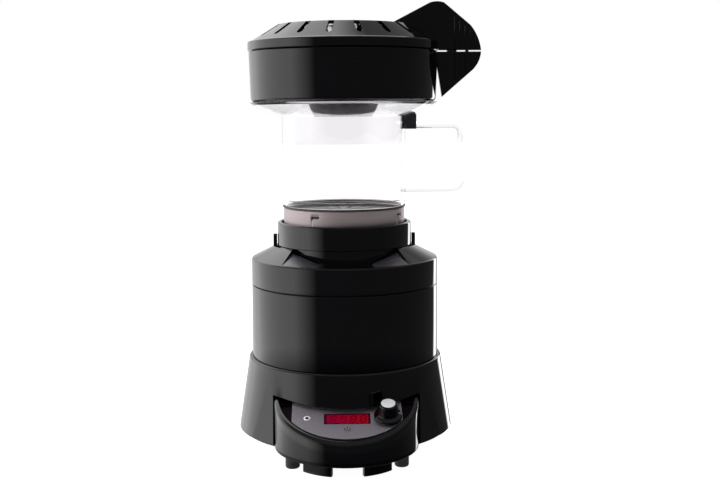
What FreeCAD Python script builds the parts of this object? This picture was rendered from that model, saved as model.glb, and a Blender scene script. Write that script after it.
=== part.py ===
"""Home coffee bean roaster: a fan-and-heater base, a glass roast chamber that
lifts off it, a chaff collector that sits on the chamber, and a twist-off lid.

Frame: +Z up, the floor at Z = 0, the roaster's axis on X = Y = 0, the control
panel facing -Y and the handle and grips on the +X side. Lengths in millimetres.
"""
import FreeCAD, Part
import math
import os
import re

import Sketcher
from FreeCAD import Placement, Rotation, Vector

# ---------------------------------------------------------------- driving sizes
SIZES = [
    # levels, each a height above the one below it
    ("foot_height", 9.5, "floor to the underside of the pan"),
    ("skirt_clearance", 11.5, "floor to the lower edge of the skirt"),
    ("skirt_height", 50.5, "lower edge of the skirt to its lip"),
    ("housing_height", 51.0, "skirt lip to the seam between the housings"),
    ("cap_height", 18.5, "seam to the rim of the top housing"),
    ("shoulder_rise", 8.5, "rim of the top housing to the neck band"),
    ("neck_band_height", 16.3, "height of the neck band"),
    ("collar_height", 32.3, "height of the chamber's steel collar"),
    ("glass_tube_height", 62.9, "foot of the glass to the start of its flare"),
    ("flare_rise", 10.2, "rise of the glass flare"),
    ("collector_height", 35.4, "glass rim to the shoulder under the lid"),
    ("lid_rim_height", 6.4, "height of the lid's upright rim"),
    ("lid_bevel_rise", 11.9, "lid rim to its flat top"),
    # pan and feet
    ("pan_thickness", 2.5, "floor plate"),
    ("pan_gap", 0.5, "pan edge to the inside of the skirt"),
    ("intake_radius", 24.0, "air intake opening"),
    ("grille_radius", 27.0, "intake grille disc"),
    ("grille_thickness", 1.2, "intake grille disc"),
    ("grille_hub_radius", 9.0, "solid middle of the grille"),
    ("grille_slot_width", 3.0, "grille slot"),
    ("grille_slot_count", 12, "grille slots"),
    ("foot_radius", 4.8, "rubber foot"),
    ("foot_rounding", 1.4, "edge of a rubber foot"),
    ("front_foot_x", 36.0, "front feet from the middle plane"),
    ("front_foot_y", 65.0, "front feet ahead of the axis"),
    ("rear_foot_x", 46.0, "rear feet from the middle plane"),
    ("rear_foot_y", 42.0, "rear feet behind the axis"),
    ("guard_radius", 39.0, "outside of the curved guards under the nose"),
    ("guard_thickness", 3.5, "curved guard wall"),
    ("guard_inner_x", 10.5, "guard end beside the middle notch"),
    ("guard_outer_x", 29.0, "guard end beside the front foot"),
    ("guard_lift", 0.4, "floor to the guard's lower edge"),
    # skirt
    ("skirt_flare_x", 9.6, "skirt's lower edge beyond the main housing, left and right"),
    ("skirt_flare_y", 5.0, "skirt's lower edge beyond the main housing, front and back"),
    ("skirt_lip_width", 2.1, "skirt's lip beyond the main housing"),
    ("skirt_wall", 2.5, "skirt wall"),
    ("bearing_width", 5.0, "lip surface that the main housing stands on"),
    ("opening_half_width", 49.5, "half width of the front opening"),
    ("visor_height", 39.3, "floor to the middle of the visor's edge"),
    ("visor_end_rise", 5.0, "rise of the visor's edge at its ends"),
    ("boss_radius", 4.0, "screw boss in the skirt"),
    ("boss_height", 16.0, "screw boss in the skirt"),
    ("boss_inset", 8.2, "skirt foot to the boss centre"),
    ("boss_angle", 20.0, "bosses from the X axis"),
    # nose
    ("nose_centre", 49.0, "centre of the round nose ahead of the axis"),
    ("nose_radius", 48.5, "outside of the nose wall"),
    ("nose_wall", 3.0, "nose wall"),
    ("nose_trim", 1.0, "end of the nose wall behind its centre"),
    ("nose_rim_height", 25.6, "floor to the rim at the front of the nose"),
    ("nose_rim_rounding", 2.4, "outer edge of the nose rim"),
    ("panel_slope", 20.0, "slope of the nose rim and the control panel"),
    ("deck_thickness", 2.0, "deck that the control panel lies on"),
    ("deck_opening_radius", 42.2, "front of the opening in the deck"),
    ("deck_opening_half_width", 33.0, "half width of the opening in the deck"),
    ("deck_opening_back", 6.5, "back of the deck opening ahead of the nose centre"),
    # control panel
    ("panel_sink", 0.4, "panel face below the nose rim"),
    ("panel_thickness", 2.0, "panel plate"),
    ("panel_half_width", 36.2, "panel plate"),
    ("panel_reach", 46.4, "panel front edge ahead of the nose centre"),
    ("panel_edge_radius", 44.1, "curve of the panel's front edge"),
    ("panel_back", 6.5, "panel back edge ahead of the nose centre"),
    ("display_width", 30.3, "display window"),
    ("display_depth", 11.2, "display window"),
    ("display_reach", 25.3, "display ahead of the nose centre"),
    ("display_recess", 0.25, "window face below the panel face"),
    ("module_height", 5.4, "display module below the panel"),
    ("module_border", 0.7, "display module beyond its window, front and back"),
    ("indicator_x", 26.2, "indicator from the middle plane"),
    ("indicator_reach", 24.2, "indicator ahead of the nose centre"),
    ("indicator_radius", 1.3, "indicator lens"),
    ("board_half_width", 31.6, "control board"),
    ("board_reach", 41.5, "control board front edge"),
    ("board_back", 8.5, "control board back edge"),
    ("board_thickness", 1.6, "circuit boards"),
    ("post_radius", 2.4, "posts under the panel"),
    ("front_post_x", 14.0, "front posts from the middle plane"),
    ("front_post_reach", 35.4, "front posts ahead of the nose centre"),
    ("rear_post_x", 29.0, "rear posts from the middle plane"),
    ("rear_post_reach", 12.5, "rear posts ahead of the nose centre"),
    # power key
    ("key_radius", 3.1, "power key"),
    ("key_reach", 36.1, "power key ahead of the nose centre"),
    ("key_gap", 0.08, "power key in its hole"),
    ("key_flange_width", 0.9, "power key flange beyond its stem"),
    ("key_flange_height", 1.0, "power key flange"),
    ("key_stem_radius", 1.2, "power key plunger"),
    ("key_travel", 0.8, "power key travel"),
    ("key_end_gap", 0.15, "plunger above the switch when pressed"),
    ("switch_width", 6.0, "tact switch"),
    ("switch_height", 2.6, "tact switch"),
    # encoder and knob
    ("knob_x", 26.6, "knob from the middle plane"),
    ("knob_reach", 25.65, "knob ahead of the nose centre"),
    ("encoder_width", 9.0, "encoder case"),
    ("bushing_radius", 3.4, "encoder bushing"),
    ("bushing_height", 0.3, "encoder bushing above the panel face"),
    ("rotor_radius", 2.5, "encoder rotor"),
    ("shaft_radius", 1.5, "encoder shaft"),
    ("running_gap", 0.05, "radial clearance of shafts and rotors"),
    ("rotor_lift", 1.2, "rotor above the encoder's floor"),
    ("knob_lift", 1.2, "knob above the panel face"),
    ("knob_travel", 0.8, "knob press travel"),
    ("knob_flange_radius", 9.2, "knob skirt"),
    ("knob_flange_height", 1.8, "knob skirt"),
    ("knob_cone_height", 1.6, "cone between the knob's skirt and its barrel"),
    ("knob_radius", 6.4, "knob barrel"),
    ("knob_height", 10.6, "knob"),
    ("knob_cap_radius", 4.7, "knob cap disc"),
    ("knob_cap_depth", 1.0, "knob cap disc in the knob"),
    ("knob_cap_proud", 0.3, "knob cap disc above the knob"),
    ("knob_hollow_radius", 4.4, "hollow under the knob"),
    ("knob_hollow_depth", 4.0, "hollow under the knob"),
    ("knob_bore_depth", 5.0, "shaft in the knob, above the hollow"),
    # main housing and top housing
    ("body_radius", 66.0, "outside of the main housing"),
    ("body_wall", 2.4, "housing walls"),
    ("seam_gap", 0.5, "groove between the housings"),
    ("cap_proud", 0.1, "top housing beyond the main housing"),
    ("tongue_depth", 5.0, "tongue of the top housing below the seam"),
    ("tongue_thickness", 2.2, "tongue"),
    ("tongue_gap", 0.2, "tongue to the main housing"),
    ("ledge_depth", 3.1, "ledge in the main housing"),
    ("ledge_thickness", 2.5, "ledges of the housings and the neck"),
    ("rim_rounding", 1.6, "rim of the top housing"),
    ("wing_end_x", 23.3, "line of the wings' ends, from the middle plane beside the axis"),
    ("wing_end_angle", 21.5, "line of the wings' ends to the middle plane"),
    ("wing_inner_radius", 47.6, "inner edge of the wings"),
    ("wing_edge_inset", 0.9, "foot of the wings inside the rim"),
    ("ramp_start", 18.0, "foot of the ramps beside the wings, from the middle plane"),
    ("ramp_angle", 18.0, "slope of the ramps beside the wings"),
    ("ramp_step", 2.5, "ramps below the wings, at the neck"),
    ("stop_inner_radius", 48.0, "stops beside the neck"),
    ("stop_thickness", 2.6, "stops beside the neck"),
    ("stop_width", 3.0, "stops beside the neck"),
    ("stop_rise", 7.3, "stops above the foot of the neck band"),
    ("housing_boss_inset", 7.8, "screw bosses of the top housing, inside its outer face"),
    ("housing_boss_radius", 3.2, "screw bosses of the top housing"),
    ("housing_screw_count", 3, "screws between the housings"),
    # neck
    ("neck_bore", 44.8, "inside of the neck"),
    ("neck_wall", 1.4, "wall under the neck band"),
    ("band_radius", 47.5, "outside of the neck band"),
    ("band_rounding", 1.1, "top edges of the neck band"),
    ("neck_flange_width", 3.4, "flange under the top housing, beyond the neck's bore"),
    ("neck_ledge_lap", 1.0, "neck ledge over the heater tube"),
    ("neck_ledge_lift", 1.5, "neck ledge above the rim of the top housing"),
    ("base_seal_thickness", 1.5, "seal that the chamber stands on"),
    ("base_seal_width", 5.0, "seal that the chamber stands on"),
    # blower, motor and duct
    ("blower_radius", 36.0, "blower housing and air duct"),
    ("blower_height", 24.8, "blower housing"),
    ("blower_wall", 2.0, "blower housing"),
    ("inlet_radius", 15.0, "blower inlet"),
    ("cover_thickness", 2.5, "blower cover"),
    ("cover_port_inner", 20.0, "ports in the blower cover"),
    ("cover_port_margin", 4.0, "ports in the blower cover, inside its edge"),
    ("cover_port_width", 9.0, "ports in the blower cover"),
    ("cover_port_count", 6, "ports in the blower cover"),
    ("impeller_tip_gap", 3.0, "impeller to the blower wall"),
    ("impeller_floor_gap", 2.6, "impeller above the blower floor"),
    ("impeller_cover_gap", 3.0, "impeller below the blower cover"),
    ("impeller_plate", 1.4, "impeller back plate"),
    ("impeller_blade", 1.2, "impeller blade"),
    ("impeller_blade_count", 9, "impeller blades"),
    ("impeller_hub_radius", 5.0, "impeller hub"),
    ("motor_radius", 17.0, "motor can"),
    ("motor_height", 36.0, "motor can"),
    ("motor_wall", 1.4, "motor can"),
    ("motor_shaft_radius", 1.5, "motor shaft"),
    ("shaft_stub", 2.5, "motor shaft beyond the can's top and the impeller"),
    ("bush_radius", 4.0, "motor bushes"),
    ("bush_length", 5.0, "motor bushes"),
    ("magnet_thickness", 2.4, "motor magnets"),
    ("magnet_height", 24.0, "motor magnets"),
    ("armature_gap", 0.8, "armature to the magnets"),
    ("armature_height", 20.0, "armature"),
    ("duct_height", 47.5, "air duct"),
    ("duct_wall", 2.4, "air duct"),
    ("duct_throat", 22.0, "opening in the duct's top"),
    # heater
    ("heater_tube_wall", 1.2, "heater tube"),
    ("mica_half_width", 24.0, "mica cross"),
    ("mica_thickness", 0.8, "mica cross"),
    ("mica_height", 34.0, "mica cross"),
    ("coil_wire_radius", 0.6, "heater wire"),
    ("coil_pitch", 4.8, "heater turns"),
    ("coil_turns", 6, "heater turns"),
    ("duct_gasket_thickness", 1.5, "gasket over the heater tube"),
    ("duct_gasket_lap", 3.0, "gasket beyond the heater tube"),
    ("thermostat_radius", 7.0, "thermostat"),
    ("thermostat_depth", 4.0, "thermostat"),
    ("fuse_radius", 1.6, "thermal fuse"),
    ("fuse_length", 11.0, "thermal fuse"),
    # power board at the back
    ("power_board_inset", 21.0, "power board's front inside the housing's outer face"),
    ("power_board_half_width", 26.0, "power board"),
    ("power_board_height", 70.0, "power board"),
    ("bracket_width", 8.0, "board brackets on the pan"),
    ("bracket_depth", 4.0, "board brackets on the pan"),
    ("bracket_height", 14.0, "board brackets on the pan"),
    ("bracket_x", 19.0, "board brackets from the middle plane"),
    ("transformer_width", 24.0, "transformer"),
    ("transformer_depth", 9.5, "transformer"),
    ("transformer_height", 20.0, "transformer"),
    ("relay_width", 15.0, "relay"),
    ("relay_depth", 9.0, "relay"),
    ("relay_height", 18.0, "relay"),
    ("capacitor_radius", 4.0, "capacitor"),
    ("capacitor_height", 16.0, "capacitor"),
    ("part_spacing", 4.0, "gaps between the parts on the power board"),
    # cord gland
    ("gland_height", 24.0, "cord gland above the floor"),
    ("gland_radius", 5.5, "cord gland in the skirt"),
    ("gland_bore", 3.4, "hole for the cord"),
    ("gland_flange", 2.2, "gland flange beyond its body"),
    ("gland_flange_thickness", 2.0, "gland flange"),
    ("gland_length", 12.0, "gland body"),
    ("gland_standoff", 0.6, "gland flange outside the skirt at the gland's axis"),
    # screws
    ("screw_radius", 1.4, "screw shanks"),
    ("screw_head_radius", 2.6, "screw heads"),
    ("screw_head_height", 1.6, "screw heads"),
    ("screw_bite", 8.0, "long screws in their bosses"),
    ("small_screw_radius", 0.9, "board screws"),
    ("small_head_radius", 1.8, "board screw heads"),
    ("small_head_height", 1.1, "board screw heads"),
    ("small_screw_bite", 3.0, "board screws in their posts"),
    # chamber
    ("collar_radius", 43.0, "outside of the steel collar"),
    ("collar_wall", 1.0, "steel collar"),
    ("collar_flange", 4.0, "turned-in edges of the collar"),
    ("plate_drop", 4.0, "air plate seat below the collar top"),
    ("plate_seat", 1.4, "width of the air plate's seat"),
    ("plate_thickness", 1.2, "air plate"),
    ("plate_gap", 0.1, "air plate to the collar"),
    ("plate_slot_count", 18, "slots in the air plate"),
    ("plate_slot_width", 1.8, "slots in the air plate"),
    ("plate_slot_inner", 12.0, "slots in the air plate"),
    ("plate_slot_outer", 36.0, "slots in the air plate"),
    ("collar_slot_width", 6.4, "tool slots in the collar"),
    ("collar_slot_height", 1.3, "tool slots in the collar"),
    ("collar_slot_drop", 4.0, "tool slots below the collar top"),
    ("collar_slot_angle", 28.5, "first tool slot from the front"),
    ("collar_slot_count", 4, "tool slots in the collar"),
    ("gasket_thickness", 1.0, "gasket between collar and glass"),
    ("gasket_proud", 0.5, "gasket beyond the foot of the glass"),
    ("glass_radius", 43.9, "outside of the glass tube"),
    ("glass_wall", 2.4, "glass wall"),
    ("glass_foot_inset", 0.8, "glass foot inside its tube"),
    ("glass_foot_height", 4.2, "taper at the glass foot"),
    ("flare_radius", 67.2, "outside of the glass rim"),
    ("flare_curve", 72.7, "curve of the flare"),
    ("handle_rod_radius", 2.5, "glass handle rod"),
    ("handle_upper", 56.7, "handle's upper arm above the glass foot"),
    ("handle_lower", 11.0, "handle's lower arm above the glass foot"),
    ("handle_reach", 84.0, "handle rod's middle line from the axis"),
    ("handle_bend", 6.0, "bends of the handle rod"),
    ("clip_reach", 51.6, "clip's outer face from the axis"),
    ("clip_half_width", 4.0, "clip across the handle"),
    ("clip_drop", 3.0, "clip below the handle rod's middle line"),
    ("clip_rise", 10.0, "clip above the handle rod's middle line"),
    ("clip_chamfer", 2.6, "clip's upper outer corner"),
    # collector
    ("collector_radius", 66.9, "collector under the lid"),
    ("collector_foot_radius", 65.6, "collector at its foot"),
    ("collector_wall", 2.4, "collector walls"),
    ("collector_rounding", 3.0, "collector's lower corner"),
    ("collector_tongue", 2.2, "tongue under the lid, above the shoulder"),
    ("nozzle_radius", 25.0, "inlet nozzle in the collector floor"),
    ("nozzle_mouth_radius", 20.7, "inlet nozzle at its mouth"),
    ("nozzle_drop", 10.0, "nozzle mouth below the collector floor"),
    ("nozzle_gap", 0.2, "nozzle in the collector floor"),
    ("nozzle_flange", 3.0, "nozzle flange on the collector floor"),
    ("nozzle_wall", 1.6, "nozzle wall"),
    ("stack_radius", 18.0, "stack inside the collector"),
    ("stack_height", 21.0, "stack above the collector floor"),
    ("deflector_radius", 24.0, "chaff deflector"),
    ("deflector_gap", 4.5, "deflector above the stack"),
    ("deflector_rise", 4.0, "middle of the deflector above its edge"),
    ("deflector_thickness", 1.5, "deflector"),
    ("deflector_leg", 1.2, "deflector legs, half thickness"),
    # lid
    ("lid_radius", 67.6, "lid rim"),
    ("lid_gap", 0.6, "seam between lid and collector"),
    ("lid_shoulder_inset", 2.6, "foot of the lid's bevel inside its rim"),
    ("lid_top_radius", 47.2, "flat top of the lid"),
    ("lid_wall", 2.4, "lid wall"),
    ("lid_slot_count", 18, "slots in the lid's bevel"),
    ("lid_slot_width", 4.0, "slots in the lid's bevel"),
    ("lid_slot_inner", 46.6, "slots in the lid's bevel"),
    ("lid_slot_outer", 60.5, "slots in the lid's bevel"),
    ("lid_clearance", 0.3, "lid around the tongue and the cartridge"),
    ("seal_width", 2.0, "lid seal on the tongue"),
    ("seal_thickness", 1.0, "lid seal on the tongue"),
    ("screen_ring_radius", 61.6, "frame of the chaff screen"),
    ("screen_ring_width", 3.0, "frame of the chaff screen"),
    ("screen_ring_height", 3.0, "frame of the chaff screen"),
    ("screen_thickness", 0.6, "chaff screen"),
    ("screen_hole_radius", 1.6, "coarse holes of the chaff screen"),
    ("screen_hole_count", 24, "coarse holes of the chaff screen"),
    ("screen_hole_orbit", 40.0, "coarse holes of the chaff screen"),
    # grips
    ("grip_half_thickness", 3.0, "grip plates"),
    ("grip_gap", 0.5, "half of the seam between the grip plates"),
    ("grip_pad_gap", 0.1, "grip pads below the upper grip"),
    ("grip_pad_inset", 0.4, "grip pads inside the faces of the grips"),
    ("grip_pad_inner", 73.8, "inner end of the inner grip pad"),
    ("grip_pad_length", 6.8, "inner grip pad"),
    ("grip_pad_spacing", 6.3, "inner grip pad to the outer one"),
    ("grip_pad_outer_length", 2.2, "outer grip pad"),
    ("grip_root", 35.0, "where the upper grip leaves the lid's top"),
    ("grip_root_rise", 1.8, "upper grip's front edge above the lid's top"),
    ("grip_peak_x", 66.7, "highest point of the upper grip"),
    ("grip_peak_rise", 16.6, "upper grip above the lid's top"),
    ("grip_crown_half", 5.2, "half width of the grip's round crown"),
    ("grip_crown_drop", 0.9, "drop of the crown at its ends"),
    ("grip_reach", 98.1, "outermost point of the grips"),
    ("grip_nose_inset", 7.6, "grip slope's foot inside the outermost point"),
    ("grip_nose_rise", 18.5, "grip slope's foot above the seam"),
    ("grip_nose_curve", 34.0, "curve between the slope and the outermost point"),
    ("lower_nose_drop", 14.8, "lower slope's start below the seam"),
    ("lower_nose_curve", 20.0, "curve of the lower grip's outer corner"),
    ("lower_tip_x", 70.0, "lower grip's tip"),
    ("lower_tip_drop", 32.6, "lower grip's tip below the seam"),
    ("lower_root_drop", 8.0, "lower grip's root on the collector"),
    ("rib_proud", 0.5, "ribs on the grips"),
    ("rib_share", 0.324, "width of a rib over the ribs' spacing"),
    ("rib_first_x", 78.8, "innermost rib"),
    ("rib_last_gap", 0.8, "ribs' last space to the outermost point of the grips"),
    ("rib_margin", 3.2, "ribs to the grip's outline"),
    ("rib_count", 5, "ribs on the grips"),
]
NAMES = {name for name, _, _ in SIZES}
WORD = re.compile(r"[A-Za-z_]\w*")

# ------------------------------------------------- levels, worked out from sizes
PAN_TOP = "(foot_height + pan_thickness)"
GRILLE_TOP = f"({PAN_TOP} + grille_thickness)"
BLOWER_TOP = f"({GRILLE_TOP} + blower_height)"
COVER_TOP = f"({BLOWER_TOP} + cover_thickness)"
MOTOR_TOP = f"({COVER_TOP} + motor_height)"
DUCT_TOP = f"({COVER_TOP} + duct_height)"
SKIRT_TOP = "(skirt_clearance + skirt_height)"
SEAM = f"({SKIRT_TOP} + housing_height)"
RIM = f"({SEAM} + cap_height)"
BAND_FOOT = f"({RIM} + shoulder_rise)"
BAND_TOP = f"({BAND_FOOT} + neck_band_height)"
LEDGE_TOP = f"({RIM} + neck_ledge_lift)"
LEDGE_FOOT = f"({LEDGE_TOP} - ledge_thickness)"
HEATER_TOP = f"({LEDGE_FOOT} - duct_gasket_thickness)"
COLLAR_FOOT = f"({LEDGE_TOP} + base_seal_thickness)"
COLLAR_TOP = f"({COLLAR_FOOT} + collar_height)"
PLATE_SEAT = f"({COLLAR_TOP} - plate_drop)"
GLASS_FOOT = f"({COLLAR_TOP} + gasket_thickness)"
GLASS_WAIST = f"({GLASS_FOOT} + glass_tube_height)"
GLASS_RIM = f"({GLASS_WAIST} + flare_rise)"
FLOOR_TOP = f"({GLASS_RIM} + collector_wall)"
SHOULDER = f"({GLASS_RIM} + collector_height)"
TONGUE_TOP = f"({SHOULDER} + collector_tongue)"
SEAL_TOP = f"({TONGUE_TOP} + seal_thickness)"
LID_FOOT = f"({SHOULDER} + lid_gap)"
LID_SHOULDER = f"({LID_FOOT} + lid_rim_height)"
LID_TOP = f"({LID_SHOULDER} + lid_bevel_rise)"
GRIP_SEAM = f"({SHOULDER} + lid_gap / 2)"
STACK_TOP = f"({FLOOR_TOP} + stack_height)"

SKIRT_FOOT_X = "(body_radius + skirt_flare_x)"
SKIRT_FOOT_Y = "(body_radius + skirt_flare_y)"
SKIRT_LIP_RADIUS = "(body_radius + skirt_lip_width)"
NOSE_FRONT = "(nose_centre + nose_radius)"
NOSE_BACK = "(nose_centre + nose_trim)"
DECK_DROP = "((panel_sink + panel_thickness) / cos(panel_slope))"
BOARD_TOP = "(0 - panel_thickness - module_height)"
BOARD_FOOT = f"({BOARD_TOP} - board_thickness)"
BODY_BORE = "(body_radius - body_wall)"
CAP_RADIUS = "(body_radius + cap_proud)"
TONGUE_RADIUS = f"({BODY_BORE} - tongue_gap)"
HOUSING_BOSS_ORBIT = "(body_radius - housing_boss_inset)"
NECK_FLANGE_RADIUS = "(neck_bore + neck_flange_width)"
NECK_LEDGE_RADIUS = "(blower_radius - neck_ledge_lap)"
COVER_PORT_OUTER = "(blower_radius - cover_port_margin)"
IMPELLER_RADIUS = "(blower_radius - blower_wall - impeller_tip_gap)"
BOARD_FRONT = "(body_radius - power_board_inset)"
BOARD_BACK = f"({BOARD_FRONT} + board_thickness)"
COLLAR_BORE = "(collar_radius - collar_wall)"
TONGUE_INNER = "(collector_radius - 2 * collector_wall)"

doc = FreeCAD.newDocument("coffee_roaster")
sheet = doc.addObject("Spreadsheet::Sheet", "Sizes")
for row, (name, size, note) in enumerate(SIZES, start=1):
    sheet.set(f"A{row}", name)
    sheet.set(f"B{row}", str(size))
    sheet.set(f"C{row}", note)
    sheet.setAlias(f"B{row}", name)
doc.recompute()

parts = []


# ------------------------------------------------------------ modelling helpers
def bound(expression):
    """The expression with every named size made a reference to the sheet."""
    return WORD.sub(lambda word: "Sizes." + word.group() if word.group() in NAMES else word.group(),
                    str(expression))


def number(expression):
    """The present value of an expression."""
    return float(sheet.evalExpression(bound(expression)))


def bind(thing, prop, expression):
    thing.setExpression(prop, bound(expression))


def new_body(label):
    """A sub-part made of sketches and features; its label names its file."""
    body = doc.addObject("PartDesign::Body", label)
    body.Label = label
    body.AllowCompound = True
    parts.append(body)
    return body


def on_panel(body):
    """Place a body in the control panel's frame: XY on the panel's face, origin
    over the nose centre, +Y up the slope."""
    rise = "nose_rim_height + tan(panel_slope) * nose_radius - panel_sink / cos(panel_slope)"
    place = Vector(0, -number("nose_centre"), number(rise))
    body.Placement = Placement(place, Rotation(Vector(1, 0, 0), number("panel_slope")))
    bind(body, "Placement.Base.y", "0 - nose_centre")
    bind(body, "Placement.Base.z", rise)
    bind(body, "Placement.Rotation.Angle", "panel_slope")
    return body


def new_sketch(body, role="XY_Plane", lift="0"):
    """A sketch on one of the body's own planes, lifted along its normal."""
    sketch = body.newObject("Sketcher::SketchObject", f"{body.Label}_sketch")
    plane = next(item for item in body.Origin.OriginFeatures if item.Role == role)
    sketch.AttachmentSupport = [(plane, "")]
    sketch.MapMode = "FlatFace"
    if lift != "0":
        bind(sketch, "AttachmentOffset.Base.z", lift)
    return sketch


def arc_edge(start, end, radius, turn):
    """The short arc from start to end; turn is 1 for anticlockwise, -1 for clockwise."""
    chord = end - start
    height = math.sqrt(max(radius**2 - (chord.Length / 2)**2, 0.0))
    side = Vector(-chord.y, chord.x, 0).normalize()
    centre = (start + end) / 2 + side * (height * turn)
    first, last = (start, end) if turn > 0 else (end, start)
    angles = [math.atan2(point.y - centre.y, point.x - centre.x) for point in (first, last)]
    circle = Part.Circle(centre, Vector(0, 0, 1), radius)
    return Part.ArcOfCircle(circle, angles[0], angles[1])


def outline(sketch, corners):
    """A closed outline. Each corner is (x, y), or (x, y, radius, turn) when the
    edge that leaves it is an arc."""
    base = sketch.GeometryCount
    points = [Vector(number(corner[0]), number(corner[1]), 0) for corner in corners]
    edges = []
    for index, corner in enumerate(corners):
        ends = points[index], points[(index + 1) % len(points)]
        if len(corner) == 4:
            edges.append(arc_edge(*ends, number(corner[2]), corner[3]))
        else:
            edges.append(Part.LineSegment(*ends))
    sketch.addGeometry(edges, False)

    def end_of(index, leaving):
        reversed_arc = len(corners[index]) == 4 and corners[index][3] < 0
        return 1 if leaving != reversed_arc else 2

    joins = []
    bindings = []
    for index, corner in enumerate(corners):
        following = (index + 1) % len(corners)
        joins.append(Sketcher.Constraint("Coincident", base + index, end_of(index, False),
                                         base + following, end_of(following, True)))
        here = base + index, end_of(index, True)
        bindings.append((Sketcher.Constraint("DistanceX", *here, points[index].x), corner[0]))
        bindings.append((Sketcher.Constraint("DistanceY", *here, points[index].y), corner[1]))
        if len(corner) == 4:
            radius = Sketcher.Constraint("Radius", base + index, number(corner[2]))
            bindings.append((radius, corner[2]))
    sketch.addConstraint(joins)
    first = sketch.ConstraintCount
    sketch.addConstraint([constraint for constraint, _ in bindings])
    for offset, (_, expression) in enumerate(bindings):
        bind(sketch, f"Constraints[{first + offset}]", expression)


def rectangle(sketch, left, right, low, high):
    outline(sketch, [(left, low), (right, low), (right, high), (left, high)])


def circle(sketch, x, y, radius):
    index = sketch.GeometryCount
    centre = Vector(number(x), number(y), 0)
    sketch.addGeometry(Part.Circle(centre, Vector(0, 0, 1), number(radius)), False)
    first = sketch.ConstraintCount
    sketch.addConstraint([Sketcher.Constraint("DistanceX", index, 3, centre.x),
                          Sketcher.Constraint("DistanceY", index, 3, centre.y),
                          Sketcher.Constraint("Radius", index, number(radius))])
    for offset, expression in enumerate((x, y, radius)):
        bind(sketch, f"Constraints[{first + offset}]", expression)


def ellipse(sketch, half_x, half_y):
    """An ellipse about the sketch's origin, longer along X."""
    size_x, size_y = number(half_x), number(half_y)
    sketch.addGeometry(Part.Ellipse(Vector(size_x, 0, 0), Vector(0, size_y, 0), Vector(0, 0, 0)), False)
    sketch.exposeInternalGeometry(0)
    sketch.addConstraint([Sketcher.Constraint("Coincident", 0, 3, -1, 1),
                          Sketcher.Constraint("Horizontal", 1),
                          Sketcher.Constraint("Distance", 1, 2 * size_x),
                          Sketcher.Constraint("Distance", 2, 2 * size_y)])
    last = sketch.ConstraintCount
    bind(sketch, f"Constraints[{last - 2}]", f"2 * ({half_x})")
    bind(sketch, f"Constraints[{last - 1}]", f"2 * ({half_y})")


def pad(body, sketch, length, symmetric=False, reverse=False):
    feature = body.newObject("PartDesign::Pad", f"{body.Label}_pad")
    feature.Profile = sketch
    bind(feature, "Length", length)
    feature.SideType = "Symmetric" if symmetric else "One side"
    feature.Reversed = reverse
    return feature


def cut(body, sketch, depth=None, forward=False):
    """Remove the sketch's area: right through, or to a depth. A cut runs against
    the sketch's normal unless it is forward."""
    feature = body.newObject("PartDesign::Pocket", f"{body.Label}_pocket")
    feature.Profile = sketch
    if depth is None:
        feature.Type = "ThroughAll"
        feature.SideType = "Symmetric"
    else:
        bind(feature, "Length", depth)
        feature.Reversed = forward
    return feature


def turn_about_axis(body, sketch, kind, angle=None):
    """Add or remove what a sketch sweeps about the body's Z axis, in a full turn or
    over an angle whose middle is at +X."""
    feature = body.newObject(kind, f"{body.Label}_turned")
    feature.Profile = sketch
    feature.ReferenceAxis = (sketch, ["V_Axis"])
    if angle is None:
        feature.Angle = 360
    else:
        bind(feature, "Angle", angle)
        feature.Midplane = True
    return feature


def revolve(body, corners):
    """Turn a profile of (radius, height) corners about the body's Z axis."""
    sketch = new_sketch(body, "XZ_Plane")
    outline(sketch, corners)
    return turn_about_axis(body, sketch, "PartDesign::Revolution")


def groove(body, corners, angle=None):
    """Remove a turned profile."""
    sketch = new_sketch(body, "XZ_Plane")
    outline(sketch, corners)
    return turn_about_axis(body, sketch, "PartDesign::Groove", angle)


def repeat(body, feature, count, axis="N_Axis"):
    """Repeat a feature round its sketch's axis."""
    doc.recompute()
    pattern = body.newObject("PartDesign::PolarPattern", f"{body.Label}_pattern")
    pattern.Originals = [feature]
    pattern.Axis = (feature.Profile[0], [axis])
    pattern.Angle = 360
    bind(pattern, "Occurrences", count)
    body.Tip = pattern
    return pattern


def fillet(body, radius, chosen):
    """Round the edges for which chosen(edge) is true."""
    doc.recompute()
    tip = body.Tip
    names = [f"Edge{index}" for index, edge in enumerate(tip.Shape.Edges, start=1) if chosen(edge)]
    feature = body.newObject("PartDesign::Fillet", f"{body.Label}_fillet")
    feature.Base = (tip, names)
    bind(feature, "Radius", radius)
    return feature


def at_height(edge, height):
    box = edge.BoundBox
    return abs(box.ZMin - height) < 1e-4 and abs(box.ZMax - height) < 1e-4


def nose_outline(radius, half_width, back):
    """A round-nosed outline ahead of the nose centre, closed by a straight back."""
    front = f"0 - nose_centre - sqrt(({radius})^2 - ({half_width})^2)"
    if back == front:
        return [(f"0 - {half_width}", front, radius, 1), (half_width, front)]
    return [(f"0 - {half_width}", front, radius, 1), (half_width, front),
            (half_width, back), (f"0 - {half_width}", back)]


def nose_arc(sketch, radius):
    """The nose outline of a given radius, closed at the nose wall's back end."""
    half_width = f"sqrt(({radius})^2 - nose_trim^2)"
    back = f"0 - {NOSE_BACK}"
    outline(sketch, [(f"0 - {half_width}", back, radius, 1), (half_width, back)])


def screws(label, places, seat, shank, head_radius, head_height, shank_radius, tilted=False):
    """Screws driven upwards: each head hangs below the seat level, each shank
    rises above it."""
    body = new_body(label)
    if tilted:
        on_panel(body)
    heads = new_sketch(body, lift=seat)
    shanks = new_sketch(body, lift=seat)
    for x, y in places:
        circle(heads, x, y, head_radius)
        circle(shanks, x, y, shank_radius)
    pad(body, heads, head_height, reverse=True)
    pad(body, shanks, shank)
    return body


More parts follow.
